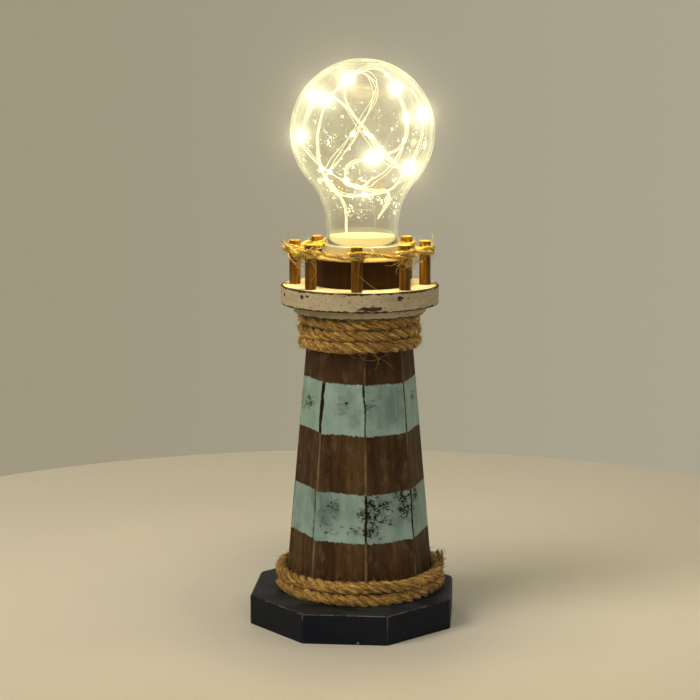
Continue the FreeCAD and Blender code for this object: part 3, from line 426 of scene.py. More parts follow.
towerLook = {
    "cornerTurn": 9.5, "drift": 0.11, "relief": 0.14 * mm,
    "bands": (  # low and high edge, and the bare line at each corner, counted round from the right
        {"low": 37.9 * mm, "high": 58.8 * mm, "lines": (0.5, 0.6, 0.5, 0.7, 0.5, 0.35, 0.5, 0.7)},
        {"low": 83.4 * mm, "high": 104.9 * mm, "lines": (0.5, 0.7, 0.5, 0.6, 0.45, 1.0, 0.5, 0.4)},
    ),
    # how far a band's edge strays from side to side, under the hand and in small nicks
    "bandEdge": 0.12 * mm, "bandSlip": 1.1 * mm, "bandHand": 1.6 * mm, "bandNicks": 2.0 * mm,
    # the line at this corner leans, by so much to each side, from the high to the low place
    "leaning": {"corner": 5.0, "angle": 0.024, "high": 104 * mm, "low": 84 * mm},
    "dark": (0.038, 0.018, 0.007), "brown": (0.092, 0.050, 0.019), "streak": (0.20, 0.130, 0.078),
    "blue": (0.215, 0.335, 0.310), "blueLight": (0.330, 0.450, 0.410), "blueDusk": (0.130, 0.200, 0.190),
    "rubbed": (0.105, 0.130, 0.110), "groove": (0.020, 0.011, 0.005), "bare": (0.215, 0.155, 0.090),
    "stain": (0.011, 0.008, 0.006),
    # share round the tower, height and spread in millimetres, and strength of each worn spot
    "sideWidth": 19.0 * mm, "spotSquash": 1.3, "spotEdge": 22 * mm,
    "wornSpots": (
        (6.10, 55.5, 6.0, 0.9), (6.14, 49.5, 8.0, 1.0), (6.16, 43.0, 6.0, 0.85),
        (6.36, 53.0, 7.5, 0.85), (6.45, 47.5, 6.0, 0.62), (6.62, 50.5, 6.0, 0.7),
        (6.88, 56.5, 6.5, 0.95), (6.85, 50.0, 7.0, 0.95),
        (5.80, 43.5, 5.5, 0.62), (5.18, 44.5, 6.5, 0.62), (5.3, 53.0, 5.5, 0.58),
        (4.40, 94.5, 9.0, 0.68), (6.14, 94.5, 6.0, 0.60), (5.5, 96.0, 6.0, 0.48),
        (7.20, 55.5, 6.0, 0.85), (7.6, 97.0, 4.0, 0.6), (1.5, 50.0, 5.0, 0.9),
        (2.7, 95.0, 4.0, 0.8), (0.4, 90.0, 4.0, 0.7), (3.3, 46.0, 4.0, 0.8),
    ),
}


def towerWood(place, height, fibre, sanded):
    look = towerLook
    figure = grain(place, 170.0, 4.0, (1.0, 1.0, 0.07))
    light = times(fade(fibre, 0.56, 0.78), fade(figure, 0.42, 0.70),
                  fade(height, 40 * mm, 26 * mm, 0.45, 0.85))
    mottle = grain(place, 380.0, 5.0, (1.0, 1.0, 0.40), (0.2, 0.4, 0.1))
    pores = times(fade(fibre, 0.44, 0.30), 0.6)
    # painted shade under the deck: the wood darkens towards the tower's head; the same dark colour fills the
    # pores
    shaded = fade(height, 100 * mm, 116 * mm, 0.0, 0.45)
    return layered(look["dark"], (fade(figure, 0.30, 0.72), look["brown"]), (light, look["streak"]),
                   (fade(mottle, 0.50, 0.74, 0.0, 0.45), look["streak"]),
                   (fade(mottle, 0.46, 0.30, 0.0, 0.5), look["dark"]),
                   (pores, look["groove"]), (sanded, look["bare"]), (shaded, look["groove"]))


def paintedBands(place, height, share):  # where paint lies, the bare lines' width, and the paler foot
    look = towerLook
    slip = add(share.id_data, "TexWhiteNoise", {"W": worked("FLOOR", share)}, noise_dimensions="1D")
    shift = plus(sway(slip.outputs["Value"], look["bandSlip"]), sway(grain(place, 60.0, 2.0), look["bandHand"]),
                 sway(grain(place, 1100.0, 2.0), look["bandNicks"]))
    level = plus(height, shift)
    bandEdge = look["bandEdge"]
    painted, lineWidth, footLight = 0.0, 0.0, 0.0
    for band in look["bands"]:
        inBand = times(fade(level, band["low"] - bandEdge, band["low"] + bandEdge),
                       fade(level, band["high"] + bandEdge, band["high"] - bandEdge))
        painted = most(painted, inBand)
        lineWidth = plus(lineWidth, times(inBand, stepped(plus(share, 0.5), band["lines"])))
        footLight = plus(footLight, times(inBand, fade(height, band["low"] + 9 * mm, band["low"] + 1 * mm)))
    return painted, lineWidth, footLight


def wornSpots(place, height, share):
    look = towerLook
    uneven = sway(grain(place, 270.0, 4.0, (1.0, 1.0, 1.0), (0.5, 0.2, 0.3)), look["spotEdge"])
    worn = 0.0
    for sideShare, spotHeight, spread, strength in look["wornSpots"]:
        past = worked("FLOORED_MODULO", less(share, sideShare - 4.0), 8.0)
        sideways = times(less(past, 4.0), look["sideWidth"])
        upwards = times(less(height, spotHeight * mm), look["spotSquash"])
        far = worked("SQRT", plus(times(sideways, sideways), times(upwards, upwards)))
        worn = most(worn, fade(plus(far, uneven), spread * mm, 0.0, 0.0, strength))
    return worn


def bandPaint(place, height, washed, footLight, worn):
    look = towerLook
    # darker blue in washed patches, and a painted shade over the lower band, where less light reaches it
    darkPatchesAndShade = less(fade(washed, 0.46, 0.70, 0.0, 0.75), times(footLight, 0.25))
    darkPatchesAndShade = plus(darkPatchesAndShade, fade(height, 80 * mm, 60 * mm, 0.0, 0.32))
    brushed = grain(place, 330.0, 5.0, (1.0, 1.0, 0.16))
    rubbed = grain(place, 560.0, 4.0, (0.32, 0.32, 1.2))
    smudge = times(fade(rubbed, 0.46, 0.66), fade(worn, 0.03, 0.35), 0.75)
    clouds = grain(place, 130.0, 4.0, (1.0, 1.0, 0.8))
    return layered(look["blue"], (fade(clouds, 0.3, 0.7), look["blueLight"]), (darkPatchesAndShade, look["blueDusk"]),
                   (times(fade(brushed, 0.50, 0.70), 0.5), look["blueLight"]), (smudge, look["rubbed"]))


def cornerLines(place, height, reach, angle, share, lineWidth, ragged):  # paint gone along the corners
    look, leaning = towerLook, towerLook["leaning"]
    atCorner = fade(worked("ABSOLUTE", less(share, leaning["corner"])), 0.5, 0.3)
    lean = times(atCorner, fade(height, leaning["high"], leaning["low"], -leaning["angle"], leaning["angle"]))
    drift = plus(sway(grain(place, 48.0, 3.0), look["drift"]), lean)
    lineCorner = eightCorners(reach, plus(angle, drift), look["cornerTurn"])[0]
    torn = plus(less(lineCorner, times(lineWidth, mm)), sway(ragged, 1.5 * mm))
    return fade(torn, 0.12 * mm, -0.06 * mm)


def finishTower():
    look = towerLook
    finish, shader, place = newFinish("towerPaint", {"Specular IOR Level": 0.3})
    height, reach, angle = roundTheAxis(place, towerAxis)
    corner, share = eightCorners(reach, angle, look["cornerTurn"])[::2]
    fibre = grain(place, 700.0, 5.0, (1.0, 1.0, 0.045))
    ragged = grain(place, 900.0, 4.0, (1.0, 1.0, 0.30))
    patchy = grain(place, 110.0, 3.0, (1.0, 1.0, 0.35))
    washed = grain(place, 75.0, 3.0, (1.0, 1.0, 0.7), (0.3, 0.1, 0.2))
    sanded = times(fade(corner, 0.75 * mm, 0.15 * mm), fade(patchy, 0.36, 0.62),
                   fade(ragged, 0.35, 0.6, 0.3, 0.9))
    wood = towerWood(place, height, fibre, sanded)
    painted, lineWidth, footLight = paintedBands(place, height, share)
    worn = wornSpots(place, height, share)
    paint = bandPaint(place, height, washed, footLight, worn)
    # where the paint is gone
    lineWidth = times(lineWidth, fade(patchy, 0.25, 0.75, 0.45, 1.15))
    gone = cornerLines(place, height, reach, angle, share, lineWidth, ragged)
    speckle = plus(times(grain(place, 2100.0, 3.0, (0.50, 0.50, 1.15)), 0.62),
                   times(grain(place, 760.0, 4.0, (0.70, 0.70, 1.0)), 0.38))
    chips = times(fade(plus(speckle, times(worn, 0.20)), 0.63, 0.66), fade(worn, 0.02, 0.12))
    nicks = fade(plus(grain(place, 800.0, 2.0), times(washed, 0.2)), 0.83, 0.86)
    cover = times(painted, less(1.0, most(gone, chips, nicks)))
    feed(shader, "Base Color", layered(wood, (painted, look["stain"]), (cover, paint)))
    feed(shader, "Roughness", fade(cover, 0.0, 1.0, 0.74, 0.62))
    joinBump(shader, plus(times(fibre, 0.5), times(cover, 0.55)), look["relief"], 0.8)
    dress("tower", finish)


finishTower()
print("plinth and tower finished")


# gallery

deckLook = {
    "cream": (0.47, 0.39, 0.26), "chalk": (0.57, 0.49, 0.34), "grey": (0.27, 0.22, 0.135),
    "bare": (0.062, 0.033, 0.012), "line": 0.8 * mm, "lineShake": 2.4 * mm, "relief": 0.12 * mm,
    # turn from the front, height, half width, half height
    "streaks": ((13.0, 138.3 * mm, 6.5 * mm, 1.0 * mm), (-41.0, 142.0 * mm, 1.3 * mm, 0.9 * mm),
                (-36.0, 142.6 * mm, 1.2 * mm, 0.5 * mm), (34.0, 142.2 * mm, 1.6 * mm, 1.0 * mm),
                (38.0, 145.2 * mm, 4.0 * mm, 0.8 * mm), (-66.0, 141.6 * mm, 1.2 * mm, 0.7 * mm),
                (150.0, 140.0 * mm, 5.0 * mm, 1.0 * mm), (215.0, 141.5 * mm, 3.0 * mm, 0.9 * mm)),
}


def deckPaint(name, low, high, radius):
    look, line = deckLook, deckLook["line"]
    finish, shader, place = newFinish(name, {"Roughness": 0.7, "Specular IOR Level": 0.3})
    height, reach, angle = roundTheAxis(place, towerAxis)
    clouds = grain(place, 90.0, 4.0)
    brushed = grain(place, 420.0, 4.0, (0.25, 0.25, 1.6))
    colour = layered(look["cream"], (fade(clouds, 0.3, 0.7), look["chalk"]),
                     (fade(brushed, 0.48, 0.75, 0.0, 0.5), look["grey"]))
    # bare lines along the rim's edges, dots, and streaks on the rim
    shake = sway(grain(place, 380.0, 4.0), look["lineShake"])
    atRim = fade(less(radius - line, plus(reach, times(shake, 0.5))), 0.15 * mm, -0.15 * mm)
    level = plus(height, shake)
    lines = times(atRim, most(fade(level, high - line * 1.1, high - line * 0.6),
                              fade(level, low + line * 1.1, low + line * 0.6)))
    dots = fade(plus(grain(place, 1300.0, 3.0), times(clouds, 0.3)), 0.75, 0.82, 0.0, 0.7)
    gone = most(lines, dots)
    dashes = sway(grain(place, 900.0, 3.0, (0.4, 0.4, 1.5)), 2.6)
    onRim = fade(reach, radius - 2 * mm, radius - 1 * mm)
    for turn, spotHeight, halfWidth, halfHeight in look["streaks"]:
        past = worked("FLOORED_MODULO", less(angle, math.radians(turn - 90) - math.pi), 2 * math.pi)
        sideways = worked("DIVIDE", times(less(past, math.pi), radius), halfWidth)
        upwards = worked("DIVIDE", less(height, spotHeight), halfHeight)
        far = plus(times(sideways, sideways), times(upwards, upwards))
        gone = most(gone, times(fade(plus(fade(far, 1.6, 0.0), dashes), 0.40, 0.55), onRim))
    feed(shader, "Base Color", layered(colour, (gone, look["bare"])))
    joinBump(shader, less(times(brushed, 0.5), times(gone, 0.6)), look["relief"], 0.8)
    return finish


def finishGallery():
    for node in ("gallery_deck", "under_deck"):
        low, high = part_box(node)
        dress(node, deckPaint(node + "Paint", low.z, high.z, (high.x - low.x) / 2))


# stain with a paler worn lip at the top, bare wood that on the cup is also painted light from the bulb; the
# grain is the noise's scale
woodLook = {
    "cup": {"dark": (0.0185, 0.0072, 0.0010), "light": (0.040, 0.015, 0.0018), "end": (0.40, 0.25, 0.08),
            "lip": 1.3 * mm, "grain": 500.0},
    "post": {"dark": (0.062, 0.025, 0.0028), "light": (0.225, 0.102, 0.0105), "end": (0.46, 0.23, 0.03),
             "lip": 0.25 * mm, "grain": 900.0},
    "dowel": {"dark": (0.45, 0.32, 0.18), "light": (0.62, 0.47, 0.29), "end": (0.66, 0.50, 0.31),
              "lip": 0.0, "grain": 500.0},
    "edge": 0.1 * mm, "ragged": 0.8 * mm, "relief": 0.12 * mm,
}


def stainedWood(name, look, top):
    finish, shader, place = newFinish(name, {"Roughness": 0.55, "Specular IOR Level": 0.2})
    fibre = grain(place, look["grain"], 4.0, (1.0, 1.0, 0.06))
    level = plus(split(place)[2], sway(grain(place, 500.0, 3.0), woodLook["ragged"]))
    lip, edge = top - look["lip"], woodLook["edge"]
    # the pale top lip: worn bare wood, and on the cup also a painted highlight where the bulb's light falls on
    # its rim
    feed(shader, "Base Color", layered(look["dark"], (fade(fibre, 0.3, 0.7), look["light"]),
                                       (fade(level, lip - edge, lip + edge), look["end"])))
    joinBump(shader, fibre, woodLook["relief"], 0.7)
    return finish


def finishWoodwork():
    dress("lantern_cup", stainedWood("cupStain", woodLook["cup"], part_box("lantern_cup")[1].z))
    postStain = stainedWood("postStain", woodLook["post"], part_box("rail_post_1")[1].z)
    for number in range(1, 9):
        dress("rail_post_%d" % number, postStain)
    dress("gallery_dowel", stainedWood("dowelWood", woodLook["dowel"], deckTop))


finishGallery()
finishWoodwork()
print("gallery finished")


# rope and twine

ropeLook = {
    "radius": 2.2 * mm, "full": 2.52 * mm, "lay": 14.5 * mm, "strands": 3, "pitch": 4.9 * mm,
    "neck": {"seat": 21.6 * mm, "turns": 3, "start": 268.0}, "gap": 0.08 * mm,
    "foot": {"seat": 32.5 * mm, "turns": 2, "start": 284.0, "lean": 0.5 * mm, "tail": 5.5 * mm,
             "tailTurn": 0.55, "tailSteps": 39},
    "dark": (0.115, 0.053, 0.012), "tan": (0.55, 0.320, 0.072), "pale": (0.84, 0.56, 0.18), "grain": 1.7,
    "ring": 0.7 * mm, "sides": 18, "ridges": 5, "wander": 0.13, "fibresPerMetre": 1000,
    "waves": ((0.22 * mm, 13 * mm), (0.14 * mm, 5.3 * mm)),  # height and length of its ups and downs
    "hairs": 2700, "hairLengths": (1.0 * mm, 3.6 * mm), "hairThick": 0.085 * mm,
    "frayed": {"rings": 16, "reach": 0.9, "hairs": 260, "lengths": (2.5 * mm, 6.0 * mm), "thick": 0.08 * mm},
    # strands peeled off the foot rope: thickness, then (turn from the front, reach, height above the plinth)
    "peeled": (
        (0.95, (84, 35.4, 5.4), (94, 35.8, 8.4), (101, 35.6, 10.6), (106, 35.2, 12.4)),
        (0.75, (88, 35.6, 5.6), (98, 36.4, 8.0), (106, 36.2, 9.6), (113, 35.8, 10.4)),
        (0.50, (86, 35.8, 6.0), (95, 36.6, 9.0), (100, 36.6, 11.4), (102, 36.4, 13.2)),
    ),
    "peeledHairs": 40, "peeledLengths": (1.0 * mm, 3.0 * mm),
    # loose fibres under the neck rope: thickness, then (turn, reach, height above the tower's head)
    "hanging": (
        (0.12, (18, 25.0, -14.0), (22, 26.2, -16.5), (21, 26.0, -19.5), (19, 25.4, -21.5)),
        (0.09, (14, 25.0, -14.5), (20, 26.4, -15.5), (30, 26.6, -18.0), (38, 26.0, -21.5)),
        (0.09, (2, 25.0, -14.0), (8, 26.2, -16.6), (14, 26.4, -17.2), (24, 26.0, -16.6)),
        (0.07, (-8, 25.0, -14.0), (-3, 25.8, -15.6), (4, 26.0, -16.4), (8, 25.8, -15.4)),
        (0.07, (34, 25.0, -13.5), (29, 26.2, -15.6), (24, 26.4, -15.4), (19, 26.2, -16.8)),
        (0.08, (292, 25.0, -14.0), (288, 26.4, -15.5), (284, 27.2, -15.0)),
    ),
}


def jute(name, look):
    dull = {"Roughness": 0.85, "Specular IOR Level": 0.15, "Sheen Weight": 0.2}
    finish, shader, place = newFinish(name, dull)
    lay = add(finish.node_tree, "Attribute", attribute_name="lay").outputs["Vector"]
    threads = grain(lay, look["grain"], 5.0, (0.14, 1.0, 1.0))
    patches = grain(place, 160.0, 3.0)
    flecks = grain(place, 1250.0, 3.0, (0.7, 0.7, 1.2))
    lit = times(fade(threads, 0.52, 0.68), fade(patches, 0.35, 0.7, 0.4, 1.0))
    feed(shader, "Base Color", layered(
        look["dark"], (fade(threads, 0.34, 0.58), look["tan"]), (lit, look["pale"]),
        (fade(patches, 0.30, 0.55, 0.35, 0.0), look["dark"]),
        (fade(flecks, 0.55, 0.68, 0.0, 0.6), look["pale"]), (fade(flecks, 0.45, 0.34, 0.0, 0.6), look["dark"])))
    joinBump(shader, threads, 0.45 * mm, 1.0)
    return finish


def climbed(quarter):  # level over the front half turn, one step up over the back half
    whole, rest = divmod(quarter, 4)
    share = min(max((rest - 2) / 2, 0), 1)
    return whole + share * share * (3 - 2 * share)


def ringPoint(radius, degrees, height):  # degrees from the front, to the right
    angle = math.radians(degrees)
    return (towerAxis.x + radius * math.sin(angle), towerAxis.y - radius * math.cos(angle), height)


def windingLine(winding, radius, lowHeight):
    lean, tail = winding.get("lean", 0.0), winding.get("tail", 0.0)
    quarters = 4 * winding["turns"] - 2
    steps = int(math.radians(90 * quarters) * radius / ropeLook["ring"])
    places = [(quarters * k / steps, climbed(quarters * k / steps), 0.0) for k in range(steps + 1)]
    if tail:  # the loose end rises over an eighth of a turn
        last = climbed(quarters)
        for k in range(1, winding["tailSteps"] + 1):
            share = k / winding["tailSteps"]
            places.append((quarters + winding["tailTurn"] * share, last, tail * share * share))
    return np.array([ringPoint(radius - lean * up, winding["start"] + 90 * quarter,
                               lowHeight + ropeLook["pitch"] * up + rise) for quarter, up, rise in places])


def layStrands(line, radius, strands, layLength, sides, ridges, wander, fibresPerMetre=0):
    across, rise = carriedFrames(line)[1:]
    run = runAlong(line)
    strandRadius = radius / (1 + 1 / math.sin(math.pi / strands))
    parts = []
    for k in range(strands):
        turn = 2 * math.pi * (run / layLength + k / strands + 0.05 * np.sin(run / (19 * mm)))
        phase = random.uniform(0, 6)
        swell = 1 + wander * np.sin(run / (2.3 * mm) + phase) * np.sin(run / (3.7 * mm) + 2 * phase)
        reach = (radius - strandRadius) * (1 + 0.5 * wander * np.sin(run / (5 * mm) + phase))
        strand = line + outwards(across, rise, turn) * reach[:, None]
        radii = strandRadius * 1.07 * swell
        parts.append(sweep(strand, radii, sides, ridges, 0.12, -2 * math.pi / (layLength * 0.55)))
        parts += fibres(strand, radii, int(run[-1] * fibresPerMetre))
    return parts


def fibres(strand, radii, count):  # long fibres lying along a strand, lifting off it at one end
    across, rise = carriedFrames(strand)[1:]
    parts = []
    for k in range(count):
        start = random.randrange(0, len(strand) - 14)
        span = np.arange(start, start + random.randint(7, 13))
        turn = random.uniform(0, 2 * math.pi) + (span - start) * random.uniform(-0.12, 0.12)
        lift = random.uniform(0.0, 0.7) * mm * np.linspace(0, 1, len(span)) ** 3
        away = outwards(across[span], rise[span], turn) * (radii[span] * 1.02 + lift)[:, None]
        parts.append(sweep(strand[span] + away, random.uniform(0.06, 0.13) * mm, 3))
    return parts


def fuzz(line, radius, count, lengths, thickness):  # loose fibres standing off a strand
    ways, across, rise = carriedFrames(line)
    shares = np.linspace(0, 1, 6)[:, None]
    parts = []
    for k in range(count):
        spot = random.randrange(2, len(line) - 2)
        turn = random.uniform(0, 2 * math.pi)
        out = across[spot] * math.cos(turn) + rise[spot] * math.sin(turn)
        length = random.uniform(*lengths) * random.choice((0.5, 0.8, 1.0))
        start = line[spot] + out * radius * 0.85
        heading = out * random.uniform(0.25, 1.0) + ways[spot] * random.uniform(-1.6, 1.6)
        heading /= np.linalg.norm(heading)
        curl = np.array([random.uniform(-1, 1) for j in range(3)]) * 0.45
        points = start + heading * length * shares + curl * length * shares * shares
        parts.append(sweep(points, thickness * np.linspace(1.0, 0.45, 6), 3))
    return parts


def easyLine(points, steps=18):  # a smooth line through given points
    points = np.array(points, float)
    shares = np.linspace(0, len(points) - 1, steps)
    smooth = np.stack([np.interp(shares, range(len(points)), points[:, axis]) for axis in range(3)], 1)
    for step in range(3):
        smooth[1:-1] = (smooth[:-2] + 2 * smooth[1:-1] + smooth[2:]) / 4
    return smooth


def stray(points, thickness):  # a loose strand
    line = easyLine(points)
    return sweep(line, thickness * np.linspace(1.0, 0.6, len(line)), 5)


def spots(through, level):  # points in millimetres above a level, as places
    return [ringPoint(reach * mm, turn, level + up * mm) for turn, reach, up in through]


def frayedEnd(line):  # the foot rope's loose end with strands peeled off it
    frayed = ropeLook["frayed"]
    parts = fuzz(line[-frayed["rings"]:], ropeLook["radius"] * frayed["reach"], frayed["hairs"],
                 frayed["lengths"], frayed["thick"])
    for thick, *through in ropeLook["peeled"]:
        points = spots(through, plinthTop)
        parts.append(stray(points, thick * mm))
        parts += fuzz(easyLine(points), thick * mm, ropeLook["peeledHairs"], ropeLook["peeledLengths"],
                      ropeLook["hairThick"])
    return parts


def makeRopes():
    look, radius = ropeLook, ropeLook["radius"]
    finish = jute("juteRope", look)
    neck, foot = look["neck"], look["foot"]
    neckLow = towerHead - look["gap"] - radius - look["pitch"] * (neck["turns"] - 1)
    neckLine = windingLine(neck, neck["seat"] + look["gap"] + radius, neckLow)
    footLine = windingLine(foot, foot["seat"] + radius, plinthTop + look["gap"] + radius)
    for name, line, node in (("neckRopeLaid", neckLine, "neck_rope"),
                             ("footRopeLaid", footLine, "foot_rope")):
        run = runAlong(line)
        for push, stretch in look["waves"]:
            line[:, 2] += push * np.sin(run / stretch + random.uniform(0, 6))
        parts = layStrands(line, look["full"], look["strands"], look["lay"], look["sides"], look["ridges"],
                           look["wander"], look["fibresPerMetre"])
        parts += fuzz(line, radius, look["hairs"], look["hairLengths"], look["hairThick"])
        if node == "foot_rope":
            parts += frayedEnd(line)
        else:
            parts += [stray(spots(through, towerHead), thick * mm) for thick, *through in look["hanging"]]
        vertices, faces, lay = gather(parts)
        piece = newPiece(name, vertices, faces, finish, "lighthouse")
        storeLay(piece, lay)
        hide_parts(node)


makeRopes()
print("ropes laid")


twineLook = {
    "radius": 0.8 * mm, "gap": 0.1 * mm, "height": 13.9 * mm, "climb": 2.4 * mm, "sag": 0.35 * mm,
    "lay": 4.2 * mm, "posts": 8, "postCircle": 27.8 * mm, "postTurn": 1.8, "postRadius": 2.4 * mm,
    "strands": 2, "sides": 10, "ridges": 3, "wander": 0.08,
    "hairs": 900, "hairLengths": (1.0 * mm, 4.2 * mm), "hairThick": 0.065 * mm,
    "threads": 3, "threadRadius": 0.17 * mm,
    "lash": {"radius": 0.30 * mm, "turns": 3.3, "steps": 110, "sides": 8, "ridges": 3, "twist": 2.5 * mm,
             "hairs": 54, "hairLengths": (1.2 * mm, 4.6 * mm)},
    # loose strands: thickness, then (turn, reach, height above the deck)
    "strays": (
        (0.34, (272, 30.6, 15.5), (289, 31.3, 12.5), (305, 31.6, 10.5), (316, 31.0, 11.5)),
        (0.26, (270, 30.8, 14.0), (292, 32.0, 13.5), (308, 31.6, 9.2), (318, 30.9, 9.8)),
        (0.20, (276, 30.4, 16.5), (296, 31.0, 15.0), (315, 31.4, 12.8), (330, 30.5, 14.0)),
        (0.11, (312, 30.0, 14.0), (326, 31.0, 11.5), (330, 31.6, 8.0), (324, 31.2, 4.0)),
        (0.10, (4, 30.4, 7.0), (9, 31.4, 4.5), (16, 32.0, 1.6), (23, 31.5, 0.5)),
        (0.10, (352, 30.6, 15.5), (338, 31.5, 17.0), (326, 31.0, 14.5), (322, 30.5, 12.0)),
        (0.12, (44, 30.6, 15.0), (36, 32.4, 12.0), (31, 32.8, 9.0), (33, 32.4, 7.4)),
        (0.10, (46, 30.6, 14.0), (38, 32.0, 13.0), (27, 33.0, 11.0), (22, 32.6, 11.5)),
        (0.14, (50, 30.6, 16.5), (62, 31.6, 18.0), (78, 31.0, 17.5), (92, 30.4, 15.5)),
        (0.12, (92, 30.2, 17.0), (95, 31.0, 19.0), (99, 31.4, 21.0)),
        (0.12, (268, 30.2, 17.0), (264, 31.2, 19.5), (262, 31.8, 21.5)),
    ),
    # tangles at (turn, reach, height), spread and number of threads
    "tangles": ((47.0, 30.8, 14.0, 5.6, 20), (43.0, 31.4, 11.0, 4.6, 9), (314.0, 30.8, 14.4, 5.4, 30),
                (92.0, 30.0, 15.0, 2.2, 14), (271.0, 30.4, 14.6, 3.0, 22), (2.0, 30.4, 15.0, 1.8, 10),
                (18.0, 29.8, 15.4, 3.4, 12), (137.0, 29.6, 15.4, 2.8, 16), (227.0, 29.6, 15.4, 2.8, 18),
                (182.0, 29.6, 15.0, 2.4, 16)),
    "tangleShape": (0.55, 0.55, 0.38), "tangleThick": (0.06, 0.13),
    # tan and pale are brighter and yellower than the rope's: partly the twine's own colour, partly painted
    # light from the bulb on the rail
    "dark": (0.19, 0.095, 0.010), "tan": (0.74, 0.50, 0.075), "pale": (0.97, 0.84, 0.26), "grain": 1.6,
}


def twineLine():
    look = twineLook
    wrap = look["postRadius"] + look["gap"] + look["radius"]
    step = 360 / look["posts"]
    half = look["posts"] // 2
    last = half + look["posts"] - 1
    line = []
    for number in range(half, last + 1):
        middle = look["postTurn"] + step * number
        centre = Vector(ringPoint(look["postCircle"], middle, deckTop + look["height"]))
        for k in range(46):
            share = k / 45
            angle = math.radians(middle - step / 2 + (360 + step) * share)
            line.append((centre.x + wrap * math.sin(angle), centre.y - wrap * math.cos(angle),
                         centre.z + look["climb"] * share))
        if number < last:
            target = Vector(ringPoint(look["postCircle"], middle + step, deckTop + look["height"]))
            entry = math.radians(middle + step) - math.radians(step / 2)
            goal = Vector((target.x + wrap * math.sin(entry), target.y - wrap * math.cos(entry), target.z))
            start = Vector(line[-1])
            for k in range(1, 22):
                share = k / 22
                drop = share * share * (3 - 2 * share)
                point = start.lerp(goal, share)
                point.z = start.z + (goal.z - start.z) * drop - look["sag"] * math.sin(math.pi * share)
                line.append(tuple(point))
    return np.array(line)


def lashing(number):  # thin twine thrown round a post's head, over the main one
    look, lash = twineLook, twineLook["lash"]
    centre = Vector(ringPoint(look["postCircle"], look["postTurn"] + 360 / look["posts"] * number, deckTop))
    low = look["height"] + random.uniform(-0.9, -0.2) * mm
    rise = random.uniform(2.2, 3.2) * mm
    first = random.uniform(0, 2 * math.pi)
    tilt, tiltTurn = random.uniform(0.3, 0.9) * mm, random.uniform(0, 2 * math.pi)
    line = []
    for k in range(lash["steps"] + 1):
        share = k / lash["steps"]
        angle = first + 2 * math.pi * lash["turns"] * share
        reach = look["postRadius"] + lash["radius"] * (1.2 + 1.6 * abs(math.sin(2.6 * angle)))
        up = low + rise * (0.5 - 0.5 * math.cos(math.pi * 1.4 * share)) + tilt * math.sin(angle + tiltTurn)
        line.append((centre.x + reach * math.sin(angle), centre.y - reach * math.cos(angle), centre.z + up))
    line = np.array(line)
    # the end sticks out
    away = line[-1] - line[-4]
    away /= np.linalg.norm(away)
    away += np.array((random.uniform(-0.4, 0.4), random.uniform(-0.4, 0.4), 0.5))
    tail = [line[-1] + away * random.uniform(3, 5) * mm * share for share in (0.25, 0.5, 0.75, 1.0)]
    return np.vstack([line, tail])


def looseThreads(line):  # single threads that have come loose from the twine
    across, rise = carriedFrames(line)[1:]
    run = runAlong(line)
    parts = []
    for k in range(twineLook["threads"]):
        phase = random.uniform(0, 2 * math.pi)
        pitch = random.uniform(6, 11) * mm
        swing = 0.75 + 0.45 * np.sin(run / (9 * mm) + phase) * np.sin(run / (4.1 * mm) + 3 * phase)
        away = outwards(across, rise, 2 * math.pi * run / pitch + phase)
        points = line + away * (twineLook["radius"] * swing)[:, None]
        parts.append(sweep(points, twineLook["threadRadius"], 5))
    return parts


def tangle(turn, reach, up, size, count):
    middle = np.array(spots([(turn, reach, up)], deckTop)[0])
    shares = twineLook["tangleShape"]
    parts = []
    for k in range(count):
        points = [middle + np.array([random.gauss(0, size * mm * share) for share in shares])
                  for j in range(5)]
        parts.append(stray(points, random.uniform(*twineLook["tangleThick"]) * mm))
    return parts


def makeTwine():
    look, lash = twineLook, twineLook["lash"]
    finish = jute("juteTwine", look)
    line = twineLine()
    parts = layStrands(line, look["radius"], look["strands"], look["lay"], look["sides"], look["ridges"],
                       look["wander"])
    parts += fuzz(line, look["radius"], look["hairs"], look["hairLengths"], look["hairThick"])
    parts += looseThreads(line)
    for number in range(look["posts"]):
        coil = lashing(number)
        parts.append(sweep(coil, lash["radius"], lash["sides"], lash["ridges"], 0.12,
                           2 * math.pi / lash["twist"]))
        parts += fuzz(coil, lash["radius"], lash["hairs"], lash["hairLengths"], look["hairThick"])
    parts += [stray(spots(through, deckTop), thick * mm) for thick, *through in look["strays"]]
    for place in look["tangles"]:
        parts += tangle(*place)
    vertices, faces, lay = gather(parts)
    piece = newPiece("railTwineLaid", vertices, faces, finish, "lighthouse")
    storeLay(piece, lay)
    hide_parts("rail_twine")


makeTwine()
print("rail lashed")


# bulb

bulbLook = {
    "globeRadius": 30.6 * mm, "neckRadius": 15.2 * mm, "neckLength": 7.5 * mm, "sweep": 30.0 * mm,
    "wall": 1.0 * mm, "sweepSteps": 21, "globeSteps": 60, "steps": 160,
    "tint": (1.0, 0.985, 0.93), "index": 1.62, "paintedGlowTint": (0.98, 0.95, 0.50), "paintedGlow": 0.035,
    "paintedRimGlow": 0.75, "glint": 3.0,
}


def bulbProfile(inset):  # neck, hollow sweep and globe as (radius, height), from the foot up
    look = bulbLook
    globe, sweepRadius = look["globeRadius"] - inset, look["sweep"] + inset
    neck, reach = look["neckRadius"], look["neckRadius"] + look["sweep"]
    rise = math.sqrt((look["sweep"] + look["globeRadius"]) ** 2 - reach ** 2)
    middle = look["neckLength"] + rise
    lean = math.atan2(rise, reach)
    points = [(neck - inset, bulbFoot), (neck - inset, bulbFoot + look["neckLength"] / 2)]
    for k in range(look["sweepSteps"] + 1):
        angle = math.pi - lean * k / look["sweepSteps"]
        points.append((reach + sweepRadius * math.cos(angle),
                       bulbFoot + look["neckLength"] + sweepRadius * math.sin(angle)))
    for k in range(1, look["globeSteps"] + 1):
        angle = -lean + (math.pi / 2 + lean) * k / look["globeSteps"]
        points.append((max(globe * math.cos(angle), 1e-5), bulbFoot + middle + globe * math.sin(angle)))
    return points


